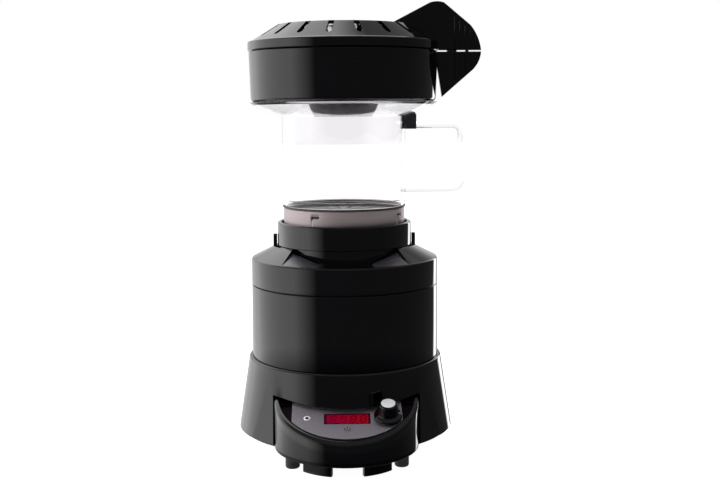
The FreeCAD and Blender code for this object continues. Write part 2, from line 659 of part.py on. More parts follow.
def box(label, left, right, front, back, foot, height):
    """A plain block, as the cases of bought-in electrical parts are."""
    body = new_body(label)
    sketch = new_sketch(body, lift=foot)
    rectangle(sketch, left, right, front, back)
    pad(body, sketch, height)
    return body


# ------------------------------------------------------------------- base: pan
def skirt_boss_places():
    reach_x = f"({SKIRT_FOOT_X} - boss_inset) * cos(boss_angle)"
    reach_y = f"({SKIRT_FOOT_Y} - boss_inset) * sin(boss_angle)"
    return [(f"{sx} * {reach_x}", f"{sy} * {reach_y}") for sx in (1, -1) for sy in (1, -1)]


def guard_outline(side):
    """One curved guard; side is 1 for +X and -1 for -X."""
    inner = "(guard_radius - guard_thickness)"
    ratio = f"({inner} / guard_radius)"

    def on_arc(x, scale):
        y = f"0 - nose_centre - {scale} * sqrt(guard_radius^2 - {x}^2)"
        return f"{side} * {scale} * {x}", y

    return [(*on_arc("guard_inner_x", "1"), "guard_radius", side),
            on_arc("guard_outer_x", "1"),
            (*on_arc("guard_outer_x", ratio), inner, -side),
            on_arc("guard_inner_x", ratio)]


def make_bottom_pan():
    body = new_body("bottom_pan")
    plate = new_sketch(body, lift="foot_height")
    ellipse(plate, f"{SKIRT_FOOT_X} - skirt_wall - pan_gap", f"{SKIRT_FOOT_Y} - skirt_wall - pan_gap")
    pad(body, plate, "pan_thickness")
    nose_room = new_sketch(body, lift=PAN_TOP)
    nose_arc(nose_room, "nose_radius")
    cut(body, nose_room, "pan_thickness")
    nose_floor = new_sketch(body, lift="foot_height")
    nose_arc(nose_floor, "(nose_radius - nose_wall)")
    pad(body, nose_floor, "pan_thickness")
    for side in (1, -1):
        guard = new_sketch(body, lift="foot_height")
        outline(guard, guard_outline(side))
        pad(body, guard, "foot_height - guard_lift", reverse=True)
    brackets = new_sketch(body, lift=PAN_TOP)
    front = BOARD_BACK
    for side in (1, -1):
        middle = f"{side} * bracket_x"
        rectangle(brackets, f"{middle} - bracket_width / 2", f"{middle} + bracket_width / 2",
                  front, f"{front} + bracket_depth")
    pad(body, brackets, "bracket_height")
    pilots = new_sketch(body, "XZ_Plane", lift=f"0 - {front}")
    for x, z in bracket_screw_places():
        circle(pilots, x, z, "small_screw_radius")
    cut(body, pilots, "small_screw_bite")
    intake = new_sketch(body)
    circle(intake, "0", "0", "intake_radius")
    for x, y in skirt_boss_places():
        circle(intake, x, y, "screw_radius")
    cut(body, intake)


def make_intake_grille():
    body = new_body("intake_grille")
    disc = new_sketch(body, lift=PAN_TOP)
    circle(disc, "0", "0", "grille_radius")
    pad(body, disc, "grille_thickness")
    slot = new_sketch(body)
    rectangle(slot, "grille_hub_radius", "intake_radius - 1",
              "0 - grille_slot_width / 2", "grille_slot_width / 2")
    repeat(body, cut(body, slot), "grille_slot_count")


def foot_places():
    front = [(f"{side} * front_foot_x", "0 - front_foot_y") for side in (1, -1)]
    rear = [(f"{side} * rear_foot_x", "rear_foot_y") for side in (1, -1)]
    return front + rear


def make_rubber_feet():
    body = new_body("rubber_feet")
    sketch = new_sketch(body)
    for x, y in foot_places():
        circle(sketch, x, y, "foot_radius")
    pad(body, sketch, "foot_height")
    fillet(body, "foot_rounding", lambda edge: at_height(edge, 0))


# ------------------------------------------------------------------ base: skirt
def make_base_skirt():
    body = new_body("base_skirt")

    def loft(kind, wall, top):
        foot = new_sketch(body, lift="skirt_clearance")
        ellipse(foot, f"{SKIRT_FOOT_X} - {wall}", f"{SKIRT_FOOT_Y} - {wall}")
        lip = new_sketch(body, lift=top)
        circle(lip, "0", "0", f"{SKIRT_LIP_RADIUS} - {wall}")
        feature = body.newObject(kind, f"{body.Label}_loft")
        feature.Profile = foot
        feature.Sections = [lip]
        return feature

    loft("PartDesign::AdditiveLoft", "0", SKIRT_TOP)
    loft("PartDesign::SubtractiveLoft", "skirt_wall", f"{SKIRT_TOP} - skirt_wall")
    well = new_sketch(body, lift=SKIRT_TOP)
    circle(well, "0", "0", "body_radius - bearing_width")
    cut(body, well, "2 * skirt_wall")
    opening = new_sketch(body, "XZ_Plane")
    half, top = "opening_half_width", "(visor_height + visor_end_rise)"
    sag = "((opening_half_width^2 + visor_end_rise^2) / (2 * visor_end_rise))"
    outline(opening, [(f"0 - {half}", "0"), (half, "0"), (half, top, sag, -1), (f"0 - {half}", top)])
    cut(body, opening, f"2 * {SKIRT_FOOT_Y}", forward=True)
    bosses = new_sketch(body, lift=PAN_TOP)
    for x, y in skirt_boss_places():
        circle(bosses, x, y, "boss_radius")
    pad(body, bosses, "boss_height")
    pilots = new_sketch(body, lift=PAN_TOP)
    for x, y in skirt_boss_places():
        circle(pilots, x, y, "screw_radius")
    cut(body, pilots, "screw_bite + 1", forward=True)
    gland = new_sketch(body, "XZ_Plane")
    circle(gland, "0", "gland_height", "gland_radius")
    cut(body, gland, f"2 * {SKIRT_FOOT_Y}")


def rim_height(distance):
    """Height of the sloping nose rim at a distance ahead of the axis."""
    return f"(nose_rim_height + tan(panel_slope) * ({NOSE_FRONT} - ({distance})))"


def make_front_bumper():
    body = new_body("front_bumper")
    front, back = f"0 - {NOSE_FRONT}", f"0 - {NOSE_BACK}"
    wedge = new_sketch(body, "YZ_Plane")
    outline(wedge, [(front, "foot_height"), (back, "foot_height"),
                    (back, rim_height(NOSE_BACK)), (front, rim_height(NOSE_FRONT))])
    pad(body, wedge, "2 * nose_radius", symmetric=True)
    hollow = new_sketch(body)
    nose_arc(hollow, "(nose_radius - nose_wall)")
    cut(body, hollow)
    deck = new_sketch(body, "YZ_Plane")
    low = f"{DECK_DROP} + deck_thickness"
    outline(deck, [(front, f"{rim_height(NOSE_FRONT)} - ({low})"),
                   (back, f"{rim_height(NOSE_BACK)} - ({low})"),
                   (back, f"{rim_height(NOSE_BACK)} - {DECK_DROP}"),
                   (front, f"{rim_height(NOSE_FRONT)} - {DECK_DROP}")])
    pad(body, deck, "2 * nose_radius", symmetric=True)
    outside = new_sketch(body)
    nose_arc(outside, "nose_radius")
    reach = "(nose_radius + nose_wall)"
    rectangle(outside, f"0 - {reach}", reach, f"0 - nose_centre - {reach}", f"{back} + nose_wall")
    cut(body, outside)
    room = new_sketch(body)
    outline(room, nose_outline("deck_opening_radius", "deck_opening_half_width",
                               "0 - nose_centre - deck_opening_back"))
    cut(body, room)
    axis_y, radius, slope = -number("nose_centre"), number("nose_radius"), number("tan(panel_slope)")

    def on_outer_rim(edge):
        middle = edge.valueAt((edge.FirstParameter + edge.LastParameter) / 2)
        rim = number("nose_rim_height") + slope * (middle.y - axis_y + radius)
        return abs(math.hypot(middle.x, middle.y - axis_y) - radius) < 1e-3 and abs(middle.z - rim) < 1e-3

    fillet(body, "nose_rim_rounding", on_outer_rim)


def make_cord_gland():
    """A bush in the back of the skirt, turned about Z and laid along Y."""
    body = new_body("cord_gland")
    narrowing = f"({SKIRT_FOOT_Y} - {SKIRT_LIP_RADIUS}) * (gland_height - skirt_clearance) / skirt_height"
    outer_face = f"({SKIRT_FOOT_Y} - {narrowing})"
    place = Vector(0, number(outer_face), number("gland_height"))
    body.Placement = Placement(place, Rotation(Vector(1, 0, 0), -90))
    bind(body, "Placement.Base.y", outer_face)
    bind(body, "Placement.Base.z", "gland_height")
    flange = "(gland_radius + gland_flange)"
    top = "gland_standoff + gland_flange_thickness"
    revolve(body, [("gland_bore", "0 - gland_length"), ("gland_radius", "0 - gland_length"),
                   ("gland_radius", "gland_standoff"), (flange, "gland_standoff"), (flange, top),
                   ("gland_bore", top)])


# ---------------------------------------------------------------- base: housings
def make_main_housing():
    body = new_body("main_housing")
    top = f"{SEAM} - seam_gap"
    ledge = f"({SEAM} - tongue_depth)"
    revolve(body, [(BODY_BORE, SKIRT_TOP), ("body_radius", SKIRT_TOP), ("body_radius", top),
                   (BODY_BORE, top), (BODY_BORE, ledge), (f"{BODY_BORE} - ledge_depth", ledge),
                   (f"{BODY_BORE} - ledge_depth", f"{ledge} - ledge_thickness"),
                   (BODY_BORE, f"{ledge} - ledge_thickness")])
    tab = new_sketch(body, lift=ledge)
    circle(tab, "0", HOUSING_BOSS_ORBIT, "housing_boss_radius + 0.6")
    repeat(body, pad(body, tab, "ledge_thickness", reverse=True), "housing_screw_count")
    hole = new_sketch(body, lift=ledge)
    circle(hole, "0", HOUSING_BOSS_ORBIT, "screw_radius")
    repeat(body, cut(body, hole, "ledge_thickness"), "housing_screw_count")


WING_RADIUS = f"({CAP_RADIUS} - wing_edge_inset)"


def wing_end(radius):
    """Where the line of a wing's end crosses a circle about the axis."""
    along = f"sqrt(({radius})^2 - (wing_end_x * cos(wing_end_angle))^2)"
    y = f"(cos(wing_end_angle) * ({along} - wing_end_x * sin(wing_end_angle)))"
    return f"(wing_end_x + tan(wing_end_angle) * {y})", y


def make_wings(body, foot):
    """The two shoulder wings: plan outlines padded up, then cut to a cone."""
    inner_x, inner_y = wing_end("wing_inner_radius")
    outer_x, outer_y = wing_end(WING_RADIUS)
    wings = new_sketch(body, lift=foot)
    for side in (1, -1):
        outline(wings, [(f"{side} * {outer_x}", f"0 - {outer_y}", WING_RADIUS, side),
                        (f"{side} * {outer_x}", outer_y),
                        (f"{side} * {inner_x}", inner_y, "wing_inner_radius", -side),
                        (f"{side} * {inner_x}", f"0 - {inner_y}")])
    pad(body, wings, f"{BAND_FOOT} - {foot}")
    above = [("wing_inner_radius", BAND_FOOT), (WING_RADIUS, f"{RIM} - 0.3"),
             (WING_RADIUS, f"{BAND_FOOT} + 1"), ("wing_inner_radius", f"{BAND_FOOT} + 1")]
    span = f"2 * atan({outer_y} / {outer_x})"
    repeat(body, groove(body, above, span), "2", axis="V_Axis")


def make_top_housing():
    body = new_body("top_housing")
    underside = f"({RIM} - body_wall)"
    cap_bore = f"({CAP_RADIUS} - body_wall)"
    tongue_inner = f"({TONGUE_RADIUS} - tongue_thickness)"
    neck_outer = "(neck_bore + neck_wall)"
    revolve(body, [(neck_outer, underside), (cap_bore, underside),
                   (cap_bore, f"{SEAM} + 2 * tongue_thickness"),
                   (tongue_inner, f"{SEAM} + tongue_thickness"), (tongue_inner, f"{SEAM} - tongue_depth"),
                   (TONGUE_RADIUS, f"{SEAM} - tongue_depth"), (TONGUE_RADIUS, SEAM), (CAP_RADIUS, SEAM),
                   (CAP_RADIUS, f"{RIM} - rim_rounding", "rim_rounding", 1),
                   (f"{CAP_RADIUS} - rim_rounding", RIM), (neck_outer, RIM)])
    foot = f"({RIM} - body_wall / 2)"
    revolve(body, [("wing_inner_radius", foot), (WING_RADIUS, foot), (WING_RADIUS, f"{RIM} - 0.3"),
                   ("wing_inner_radius", f"{BAND_FOOT} - ramp_step")])
    between_ramps = new_sketch(body, "XZ_Plane")
    ramp_top = f"({RIM} + tan(ramp_angle) * (wing_inner_radius - ramp_start))"
    outline(between_ramps, [("0 - ramp_start", RIM), ("ramp_start", RIM), ("wing_inner_radius", ramp_top),
                            ("wing_inner_radius", BAND_TOP), ("0 - wing_inner_radius", BAND_TOP),
                            ("0 - wing_inner_radius", ramp_top)])
    cut(body, between_ramps)
    make_wings(body, foot)
    stops = new_sketch(body, lift=RIM)
    far = "(stop_inner_radius + stop_thickness)"
    rectangle(stops, "stop_inner_radius", far, "0 - stop_width / 2", "stop_width / 2")
    rectangle(stops, f"0 - {far}", "0 - stop_inner_radius", "0 - stop_width / 2", "stop_width / 2")
    pad(body, stops, "shoulder_rise + stop_rise")
    boss = new_sketch(body, lift=f"{SEAM} - tongue_depth")
    circle(boss, "0", HOUSING_BOSS_ORBIT, "housing_boss_radius")
    circle(boss, "0", HOUSING_BOSS_ORBIT, "screw_radius")
    repeat(body, pad(body, boss, "tongue_depth + cap_height - body_wall / 2"), "housing_screw_count")


def make_neck_ring():
    """The neck that holds the chamber: band, lower wall, ledge and flange."""
    body = new_body("neck_ring")
    outer = "(neck_bore + neck_wall)"
    flange_top = f"({RIM} - body_wall)"
    flange_foot = f"({flange_top} - ledge_thickness)"
    revolve(body, [(NECK_LEDGE_RADIUS, LEDGE_FOOT), ("neck_bore", LEDGE_FOOT), ("neck_bore", flange_foot),
                   (NECK_FLANGE_RADIUS, flange_foot), (NECK_FLANGE_RADIUS, flange_top), (outer, flange_top),
                   (outer, BAND_FOOT), ("band_radius", BAND_FOOT),
                   ("band_radius", f"{BAND_TOP} - band_rounding", "band_rounding", 1),
                   ("band_radius - band_rounding", BAND_TOP),
                   ("neck_bore + band_rounding / 2", BAND_TOP, "band_rounding / 2", 1),
                   ("neck_bore", f"{BAND_TOP} - band_rounding / 2"),
                   ("neck_bore", LEDGE_TOP), (NECK_LEDGE_RADIUS, LEDGE_TOP)])


def ring(label, inner, outer, foot, height):
    """A flat ring."""
    body = new_body(label)
    top = f"{foot} + {height}"
    revolve(body, [(inner, foot), (outer, foot), (outer, top), (inner, top)])
    return body


# ------------------------------------------------------- base: controls on the nose
def curved_plate(label, foot, height, half_width, reach, back):
    """A plate in the panel's frame with the panel's curved front edge."""
    body = on_panel(new_body(label))
    sketch = new_sketch(body, lift=foot)
    side = f"0 - ({reach} - panel_edge_radius + sqrt(panel_edge_radius^2 - {half_width}^2))"
    outline(sketch, [(f"0 - {half_width}", side, "panel_edge_radius", 1), (half_width, side),
                     (half_width, f"0 - {back}"), (f"0 - {half_width}", f"0 - {back}")])
    pad(body, sketch, height)
    return body


def post_places():
    front = [(f"{side} * front_post_x", "0 - front_post_reach") for side in (1, -1)]
    rear = [(f"{side} * rear_post_x", "0 - rear_post_reach") for side in (1, -1)]
    return front + rear


def display_rectangle(sketch, border_x="0", border_y="0"):
    half_x = f"(display_width / 2 + {border_x})"
    half_y = f"(display_depth / 2 + {border_y})"
    rectangle(sketch, f"0 - {half_x}", half_x,
              f"0 - display_reach - {half_y}", f"0 - display_reach + {half_y}")


def make_control_panel():
    body = curved_plate("control_panel", "0 - panel_thickness", "panel_thickness",
                        "panel_half_width", "panel_reach", "panel_back")
    posts = new_sketch(body, lift="0 - panel_thickness / 2")
    for x, y in post_places():
        circle(posts, x, y, "post_radius")
    pad(body, posts, "module_height + panel_thickness / 2", reverse=True)
    pilots = new_sketch(body, lift=BOARD_TOP)
    for x, y in post_places():
        circle(pilots, x, y, "small_screw_radius")
    cut(body, pilots, "small_screw_bite", forward=True)
    holes = new_sketch(body)
    display_rectangle(holes)
    circle(holes, "0 - indicator_x", "0 - indicator_reach", "indicator_radius")
    circle(holes, "0", "0 - key_reach", "key_radius + key_gap")
    circle(holes, "knob_x", "0 - knob_reach", "bushing_radius")
    cut(body, holes)


def make_display():
    window = on_panel(new_body("display_window"))
    pane = new_sketch(window, lift="0 - panel_thickness")
    display_rectangle(pane)
    pad(window, pane, "panel_thickness - display_recess")
    module = on_panel(new_body("display_module"))
    case = new_sketch(module, lift=BOARD_TOP)
    display_rectangle(case, border_y="module_border")
    pad(module, case, "module_height")


def make_indicator_lens():
    body = on_panel(new_body("indicator_lens"))
    sketch = new_sketch(body, lift="0 - panel_thickness")
    circle(sketch, "0 - indicator_x", "0 - indicator_reach", "indicator_radius")
    pad(body, sketch, "panel_thickness + 0.15")


def make_control_board():
    body = curved_plate("control_board", BOARD_FOOT, "board_thickness",
                        "board_half_width", "board_reach", "board_back")
    holes = new_sketch(body, lift=BOARD_TOP)
    for x, y in post_places():
        circle(holes, x, y, "small_screw_radius")
    cut(body, holes, "2 * board_thickness")


def make_power_key():
    body = on_panel(new_body("power_key"))
    flange_top = "(0 - panel_thickness)"
    flange_foot = f"({flange_top} - key_flange_height)"
    steps = [("key_radius + key_flange_width", flange_foot, "key_flange_height"),
             ("key_radius", flange_foot, "key_flange_height + panel_thickness + 0.12")]
    for radius, foot, height in steps:
        sketch = new_sketch(body, lift=foot)
        circle(sketch, "0", "0 - key_reach", radius)
        pad(body, sketch, height)
    plunger = new_sketch(body, lift=flange_foot)
    circle(plunger, "0", "0 - key_reach", "key_stem_radius")
    room = "(module_height - key_flange_height - switch_height)"
    pad(body, plunger, f"{room} - key_travel - key_end_gap", reverse=True)


def make_key_switch():
    body = on_panel(new_body("key_switch"))
    sketch = new_sketch(body, lift=BOARD_TOP)
    half = "(switch_width / 2)"
    rectangle(sketch, f"0 - {half}", half, f"0 - key_reach - {half}", f"0 - key_reach + {half}")
    pad(body, sketch, "switch_height")


def knob_circle(sketch, radius):
    circle(sketch, "knob_x", "0 - knob_reach", radius)


def make_encoder():
    body = on_panel(new_body("encoder_body"))
    case = new_sketch(body, lift=BOARD_TOP)
    half = "(encoder_width / 2)"
    rectangle(case, f"knob_x - {half}", f"knob_x + {half}",
              f"0 - knob_reach - {half}", f"0 - knob_reach + {half}")
    pad(body, case, "module_height")
    bushing = new_sketch(body, lift="0 - panel_thickness")
    knob_circle(bushing, "bushing_radius")
    pad(body, bushing, "panel_thickness + bushing_height")
    bore = new_sketch(body, lift="bushing_height")
    knob_circle(bore, "rotor_radius + running_gap")
    cut(body, bore, "bushing_height + panel_thickness + module_height - rotor_lift + 0.1")
    rotor = on_panel(new_body("encoder_rotor"))
    sleeve = new_sketch(rotor, lift=f"{BOARD_TOP} + rotor_lift")
    knob_circle(sleeve, "rotor_radius")
    pad(rotor, sleeve, "module_height - rotor_lift + panel_thickness + bushing_height")
    shaft_bore = new_sketch(rotor, lift="bushing_height")
    knob_circle(shaft_bore, "shaft_radius + running_gap")
    cut(rotor, shaft_bore, "bushing_height + panel_thickness + module_height - 2 * rotor_lift")


KNOB_TOP = "(knob_lift + knob_height)"
HOLLOW_TOP = "(knob_lift + knob_hollow_depth)"


def make_knob():
    body = on_panel(new_body("knob"))
    knob = new_sketch(body, lift="knob_lift")
    knob_circle(knob, "knob_flange_radius")
    pad(body, knob, "knob_flange_height")
    cone = new_sketch(body, lift="knob_lift + knob_flange_height")
    knob_circle(cone, "knob_flange_radius")
    barrel_foot = new_sketch(body, lift="knob_lift + knob_flange_height + knob_cone_height")
    knob_circle(barrel_foot, "knob_radius")
    taper = body.newObject("PartDesign::AdditiveLoft", "knob_taper")
    taper.Profile = cone
    taper.Sections = [barrel_foot]
    barrel = new_sketch(body, lift="knob_lift + knob_flange_height + knob_cone_height")
    knob_circle(barrel, "knob_radius")
    pad(body, barrel, "knob_height - knob_flange_height - knob_cone_height")
    hollow = new_sketch(body, lift="knob_lift")
    knob_circle(hollow, "knob_hollow_radius")
    cut(body, hollow, "knob_hollow_depth", forward=True)
    bore = new_sketch(body, lift="knob_lift")
    knob_circle(bore, "shaft_radius")
    cut(body, bore, "knob_hollow_depth + knob_bore_depth", forward=True)
    seat = new_sketch(body, lift=KNOB_TOP)
    knob_circle(seat, "knob_cap_radius")
    cut(body, seat, "knob_cap_depth")
    fillet(body, "knob_cap_proud", lambda edge: abs(edge.Length - 2 * math.pi * number("knob_radius")) < 0.01
           and abs(top_level(edge) - number(KNOB_TOP)) < 0.01)

    cap = on_panel(new_body("knob_cap"))
    disc = new_sketch(cap, lift=f"{KNOB_TOP} - knob_cap_depth")
    knob_circle(disc, "knob_cap_radius")
    pad(cap, disc, "knob_cap_depth + knob_cap_proud")

    shaft = on_panel(new_body("encoder_shaft"))
    foot = f"({BOARD_TOP} + 2 * rotor_lift + knob_travel + running_gap + 0.1)"
    rod = new_sketch(shaft, lift=foot)
    knob_circle(rod, "shaft_radius")
    pad(shaft, rod, f"{HOLLOW_TOP} + knob_bore_depth - {foot}")


def top_level(edge):
    """An edge's height in its body's own frame, where the body lies unplaced."""
    return edge.BoundBox.ZMax


# --------------------------------------------------------------- base: air path
def make_blower():
    housing = new_body("blower_housing")
    inner = "(blower_radius - blower_wall)"
    floor_top = f"({GRILLE_TOP} + blower_wall)"
    revolve(housing, [("inlet_radius", GRILLE_TOP), ("blower_radius", GRILLE_TOP),
                      ("blower_radius", BLOWER_TOP), (inner, BLOWER_TOP), (inner, floor_top),
                      ("inlet_radius", floor_top)])
    cover = ring("blower_cover", "bush_radius", "blower_radius", BLOWER_TOP, "cover_thickness")
    port = new_sketch(cover, lift=COVER_TOP)
    rectangle(port, "cover_port_inner", COVER_PORT_OUTER, "0 - cover_port_width / 2", "cover_port_width / 2")
    repeat(cover, cut(cover, port, "cover_thickness"), "cover_port_count")


IMPELLER_FOOT = f"({GRILLE_TOP} + blower_wall + impeller_floor_gap)"
IMPELLER_TOP = f"({BLOWER_TOP} - impeller_cover_gap)"


def make_impeller():
    body = new_body("impeller")
    plate_foot = f"({IMPELLER_TOP} - impeller_plate)"
    revolve(body, [("motor_shaft_radius", IMPELLER_FOOT), ("impeller_hub_radius", IMPELLER_FOOT),
                   ("impeller_hub_radius", plate_foot), (IMPELLER_RADIUS, plate_foot),
                   (IMPELLER_RADIUS, IMPELLER_TOP), ("motor_shaft_radius", IMPELLER_TOP)])
    blade = new_sketch(body, lift=IMPELLER_FOOT)
    rectangle(blade, "impeller_hub_radius - 0.5", f"{IMPELLER_RADIUS} - 0.5", "0 - impeller_blade / 2",
              "impeller_blade / 2")
    height = f"{plate_foot} - {IMPELLER_FOOT} + 0.5 * impeller_plate"
    repeat(body, pad(body, blade, height), "impeller_blade_count")


def make_motor():
    can = new_body("motor_can")
    inner = "(motor_radius - motor_wall)"
    revolve(can, [("bush_radius", COVER_TOP), ("motor_radius", COVER_TOP), ("motor_radius", MOTOR_TOP),
                  ("bush_radius", MOTOR_TOP), ("bush_radius", f"{MOTOR_TOP} - motor_wall"),
                  (inner, f"{MOTOR_TOP} - motor_wall"), (inner, f"{COVER_TOP} + motor_wall"),
                  ("bush_radius", f"{COVER_TOP} + motor_wall")])
    bushes = new_body("motor_bushes")
    for foot in (COVER_TOP, f"({MOTOR_TOP} - bush_length)"):
        sketch = new_sketch(bushes, lift=foot)
        circle(sketch, "0", "0", "bush_radius")
        circle(sketch, "0", "0", "motor_shaft_radius + running_gap")
        pad(bushes, sketch, "bush_length")
    middle = f"({COVER_TOP} + motor_height / 2)"
    magnets = ring("motor_magnets", f"{inner} - magnet_thickness", inner,
                   f"({middle} - magnet_height / 2)", "magnet_height")
    split = new_sketch(magnets, "YZ_Plane")
    rectangle(split, "0 - magnet_thickness", "magnet_thickness", middle + " - magnet_height",
              middle + " + magnet_height")
    cut(magnets, split)
    ring("armature", "motor_shaft_radius", f"({inner} - magnet_thickness - armature_gap)",
         f"({middle} - armature_height / 2)", "armature_height")
    shaft = new_body("motor_shaft")
    foot = f"({IMPELLER_FOOT} - shaft_stub / 2)"
    sketch = new_sketch(shaft, lift=foot)
    circle(sketch, "0", "0", "motor_shaft_radius")
    pad(shaft, sketch, f"{MOTOR_TOP} + shaft_stub - {foot}")


def make_air_duct():
    body = new_body("air_duct")
    inner = "(blower_radius - duct_wall)"
    flange = f"({DUCT_TOP} - duct_wall)"
    revolve(body, [(inner, COVER_TOP), ("blower_radius", COVER_TOP), ("blower_radius", DUCT_TOP),
                   ("duct_throat", DUCT_TOP), ("duct_throat", flange), (inner, flange)])


def coil_sections(body):
    """The sections of the wound heater wire, one closed turn for each turn of
    the winding, halfway into the edges of the mica."""
    sketch = new_sketch(body, "XZ_Plane")
    for index in range(int(number("coil_turns"))):
        circle(sketch, "mica_half_width", f"{DUCT_TOP} + coil_pitch * {index + 1}", "coil_wire_radius")
    return sketch


def make_heater():
    ring("heater_tube", "(blower_radius - heater_tube_wall)", "blower_radius", DUCT_TOP,
         f"({HEATER_TOP} - {DUCT_TOP})")
    ring("duct_gasket", "(blower_radius - heater_tube_wall)", "blower_radius + duct_gasket_lap", HEATER_TOP,
         "duct_gasket_thickness")
    frame = new_body("mica_frame")
    for along_x in (True, False):
        sketch = new_sketch(frame, lift=DUCT_TOP)
        long_side = ("0 - mica_half_width", "mica_half_width")
        thin_side = ("0 - mica_thickness / 2", "mica_thickness / 2")
        sides = (*long_side, *thin_side) if along_x else (*thin_side, *long_side)
        rectangle(sketch, *sides)
        pad(frame, sketch, "mica_height")
    turn_about_axis(frame, coil_sections(frame), "PartDesign::Groove")
    coil = new_body("heater_coil")
    turn_about_axis(coil, coil_sections(coil), "PartDesign::Revolution")
    fuse = new_body("thermal_fuse")
    sketch = new_sketch(fuse, lift=f"{DUCT_TOP} + mica_height / 2 - fuse_length / 2")
    offset = "(mica_thickness / 2 + fuse_radius)"
    circle(sketch, "mica_half_width / 2", offset, "fuse_radius")
    pad(fuse, sketch, "fuse_length")
    thermostat = new_body("thermostat")
    disc = new_sketch(thermostat, "YZ_Plane", lift="0 - blower_radius + heater_tube_wall")
    circle(disc, "0", f"({DUCT_TOP} + {HEATER_TOP}) / 2", "thermostat_radius")
    pad(thermostat, disc, "thermostat_depth + heater_tube_wall", reverse=True)
    groove(thermostat, [("0", DUCT_TOP), ("blower_radius", DUCT_TOP), ("blower_radius", HEATER_TOP),
                        ("0", HEATER_TOP)])


# ---------------------------------------------------------- base: power electronics
PARTS_FOOT = f"({PAN_TOP} + bracket_height + part_spacing)"


def bracket_screw_places():
    return [(f"{side} * bracket_x", f"{PAN_TOP} + bracket_height / 2") for side in (1, -1)]


def make_power_board():
    body = new_body("power_board")
    sketch = new_sketch(body, lift=PAN_TOP)
    rectangle(sketch, "0 - power_board_half_width", "power_board_half_width", BOARD_FRONT, BOARD_BACK)
    pad(body, sketch, "power_board_height")
    holes = new_sketch(body, "XZ_Plane")
    for x, z in bracket_screw_places():
        circle(holes, x, z, "small_screw_radius")
    cut(body, holes)
    box("transformer", "0 - transformer_width / 2", "transformer_width / 2", BOARD_BACK,
        f"{BOARD_BACK} + transformer_depth", PARTS_FOOT, "transformer_height")
    upper = f"({PARTS_FOOT} + transformer_height + part_spacing)"
    box("relay", "part_spacing / 2", "part_spacing / 2 + relay_width", BOARD_BACK,
        f"{BOARD_BACK} + relay_depth", upper, "relay_height")
    capacitor = new_body("capacitor")
    disc = new_sketch(capacitor, lift=upper)
    circle(disc, "0 - part_spacing / 2 - capacitor_radius", f"{BOARD_BACK} + capacitor_radius",
           "capacitor_radius")
    pad(capacitor, disc, "capacitor_height")


def make_screws():
    screws("pan_screws", skirt_boss_places(), "foot_height", "pan_thickness + screw_bite",
           "screw_head_radius", "screw_head_height", "screw_radius")
    screws("board_screws", post_places(), BOARD_FOOT, "board_thickness + small_screw_bite",
           "small_head_radius", "small_head_height", "small_screw_radius", tilted=True)
    bracket = new_body("bracket_screws")
    for length, radius, backwards in (("small_head_height", "small_head_radius", False),
                                      ("board_thickness + small_screw_bite", "small_screw_radius", True)):
        sketch = new_sketch(bracket, "XZ_Plane", lift=f"0 - {BOARD_FRONT}")
        for x, z in bracket_screw_places():
            circle(sketch, x, z, radius)
        pad(bracket, sketch, length, reverse=backwards)
    long_screws = new_body("housing_screws")
    seat = f"({SEAM} - tongue_depth - ledge_thickness)"
    head = new_sketch(long_screws, lift=seat)
    circle(head, "0", HOUSING_BOSS_ORBIT, "screw_head_radius")
    repeat(long_screws, pad(long_screws, head, "screw_head_height", reverse=True), "housing_screw_count")
    shank = new_sketch(long_screws, lift=f"{seat} - screw_head_height / 2")
    circle(shank, "0", HOUSING_BOSS_ORBIT, "screw_radius")
    length = "ledge_thickness + screw_bite + screw_head_height / 2"
    repeat(long_screws, pad(long_screws, shank, length), "housing_screw_count")


# -------------------------------------------------------------------- chamber
def make_collar():
    body = new_body("collar_ring")
    foot_inner = "(collar_radius - collar_flange)"
    seat_inner = f"({COLLAR_BORE} - plate_seat)"
    under_top = f"({COLLAR_TOP} - collar_wall)"
    revolve(body, [(foot_inner, COLLAR_FOOT), ("collar_radius", COLLAR_FOOT), ("collar_radius", COLLAR_TOP),
                   (f"{foot_inner} + 0.4", COLLAR_TOP), (f"{foot_inner} + 0.4", under_top),
                   (COLLAR_BORE, under_top), (COLLAR_BORE, PLATE_SEAT),
                   (seat_inner, PLATE_SEAT), (seat_inner, f"{PLATE_SEAT} - collar_wall"),
                   (COLLAR_BORE, f"{PLATE_SEAT} - collar_wall"),
                   (COLLAR_BORE, f"{COLLAR_FOOT} + collar_wall"),
                   (foot_inner, f"{COLLAR_FOOT} + collar_wall")])
    slot = new_sketch(body, "XZ_Plane")
    middle = "(0 - collar_radius * sin(collar_slot_angle))"
    high = f"({COLLAR_TOP} - collar_slot_drop)"
    low = f"({high} - collar_slot_height)"
    left, right = f"({middle} - collar_slot_width / 2)", f"({middle} + collar_slot_width / 2)"
    toe = f"({left} + collar_slot_height)"
    outline(slot, [(left, f"{low} - collar_slot_height"), (toe, f"{low} - collar_slot_height"), (toe, low),
                   (right, low), (right, high), (left, high)])
    slot_cut = cut(body, slot, "collar_radius", forward=True)
    repeat(body, slot_cut, "collar_slot_count", axis="V_Axis")
    ring("collar_gasket", f"({COLLAR_BORE} - glass_wall / 2)",
         "(glass_radius - glass_foot_inset + gasket_proud)", COLLAR_TOP, "gasket_thickness")


def make_air_plate():
    body = new_body("air_plate")
    disc = new_sketch(body, lift=PLATE_SEAT)
    circle(disc, "0", "0", f"{COLLAR_BORE} - plate_gap")
    pad(body, disc, "plate_thickness")
    slot = new_sketch(body, lift=f"{PLATE_SEAT} + plate_thickness")
    rectangle(slot, "plate_slot_inner", "plate_slot_outer",
              "0 - plate_slot_width / 2", "plate_slot_width / 2")
    repeat(body, cut(body, slot, "plate_thickness"), "plate_slot_count")


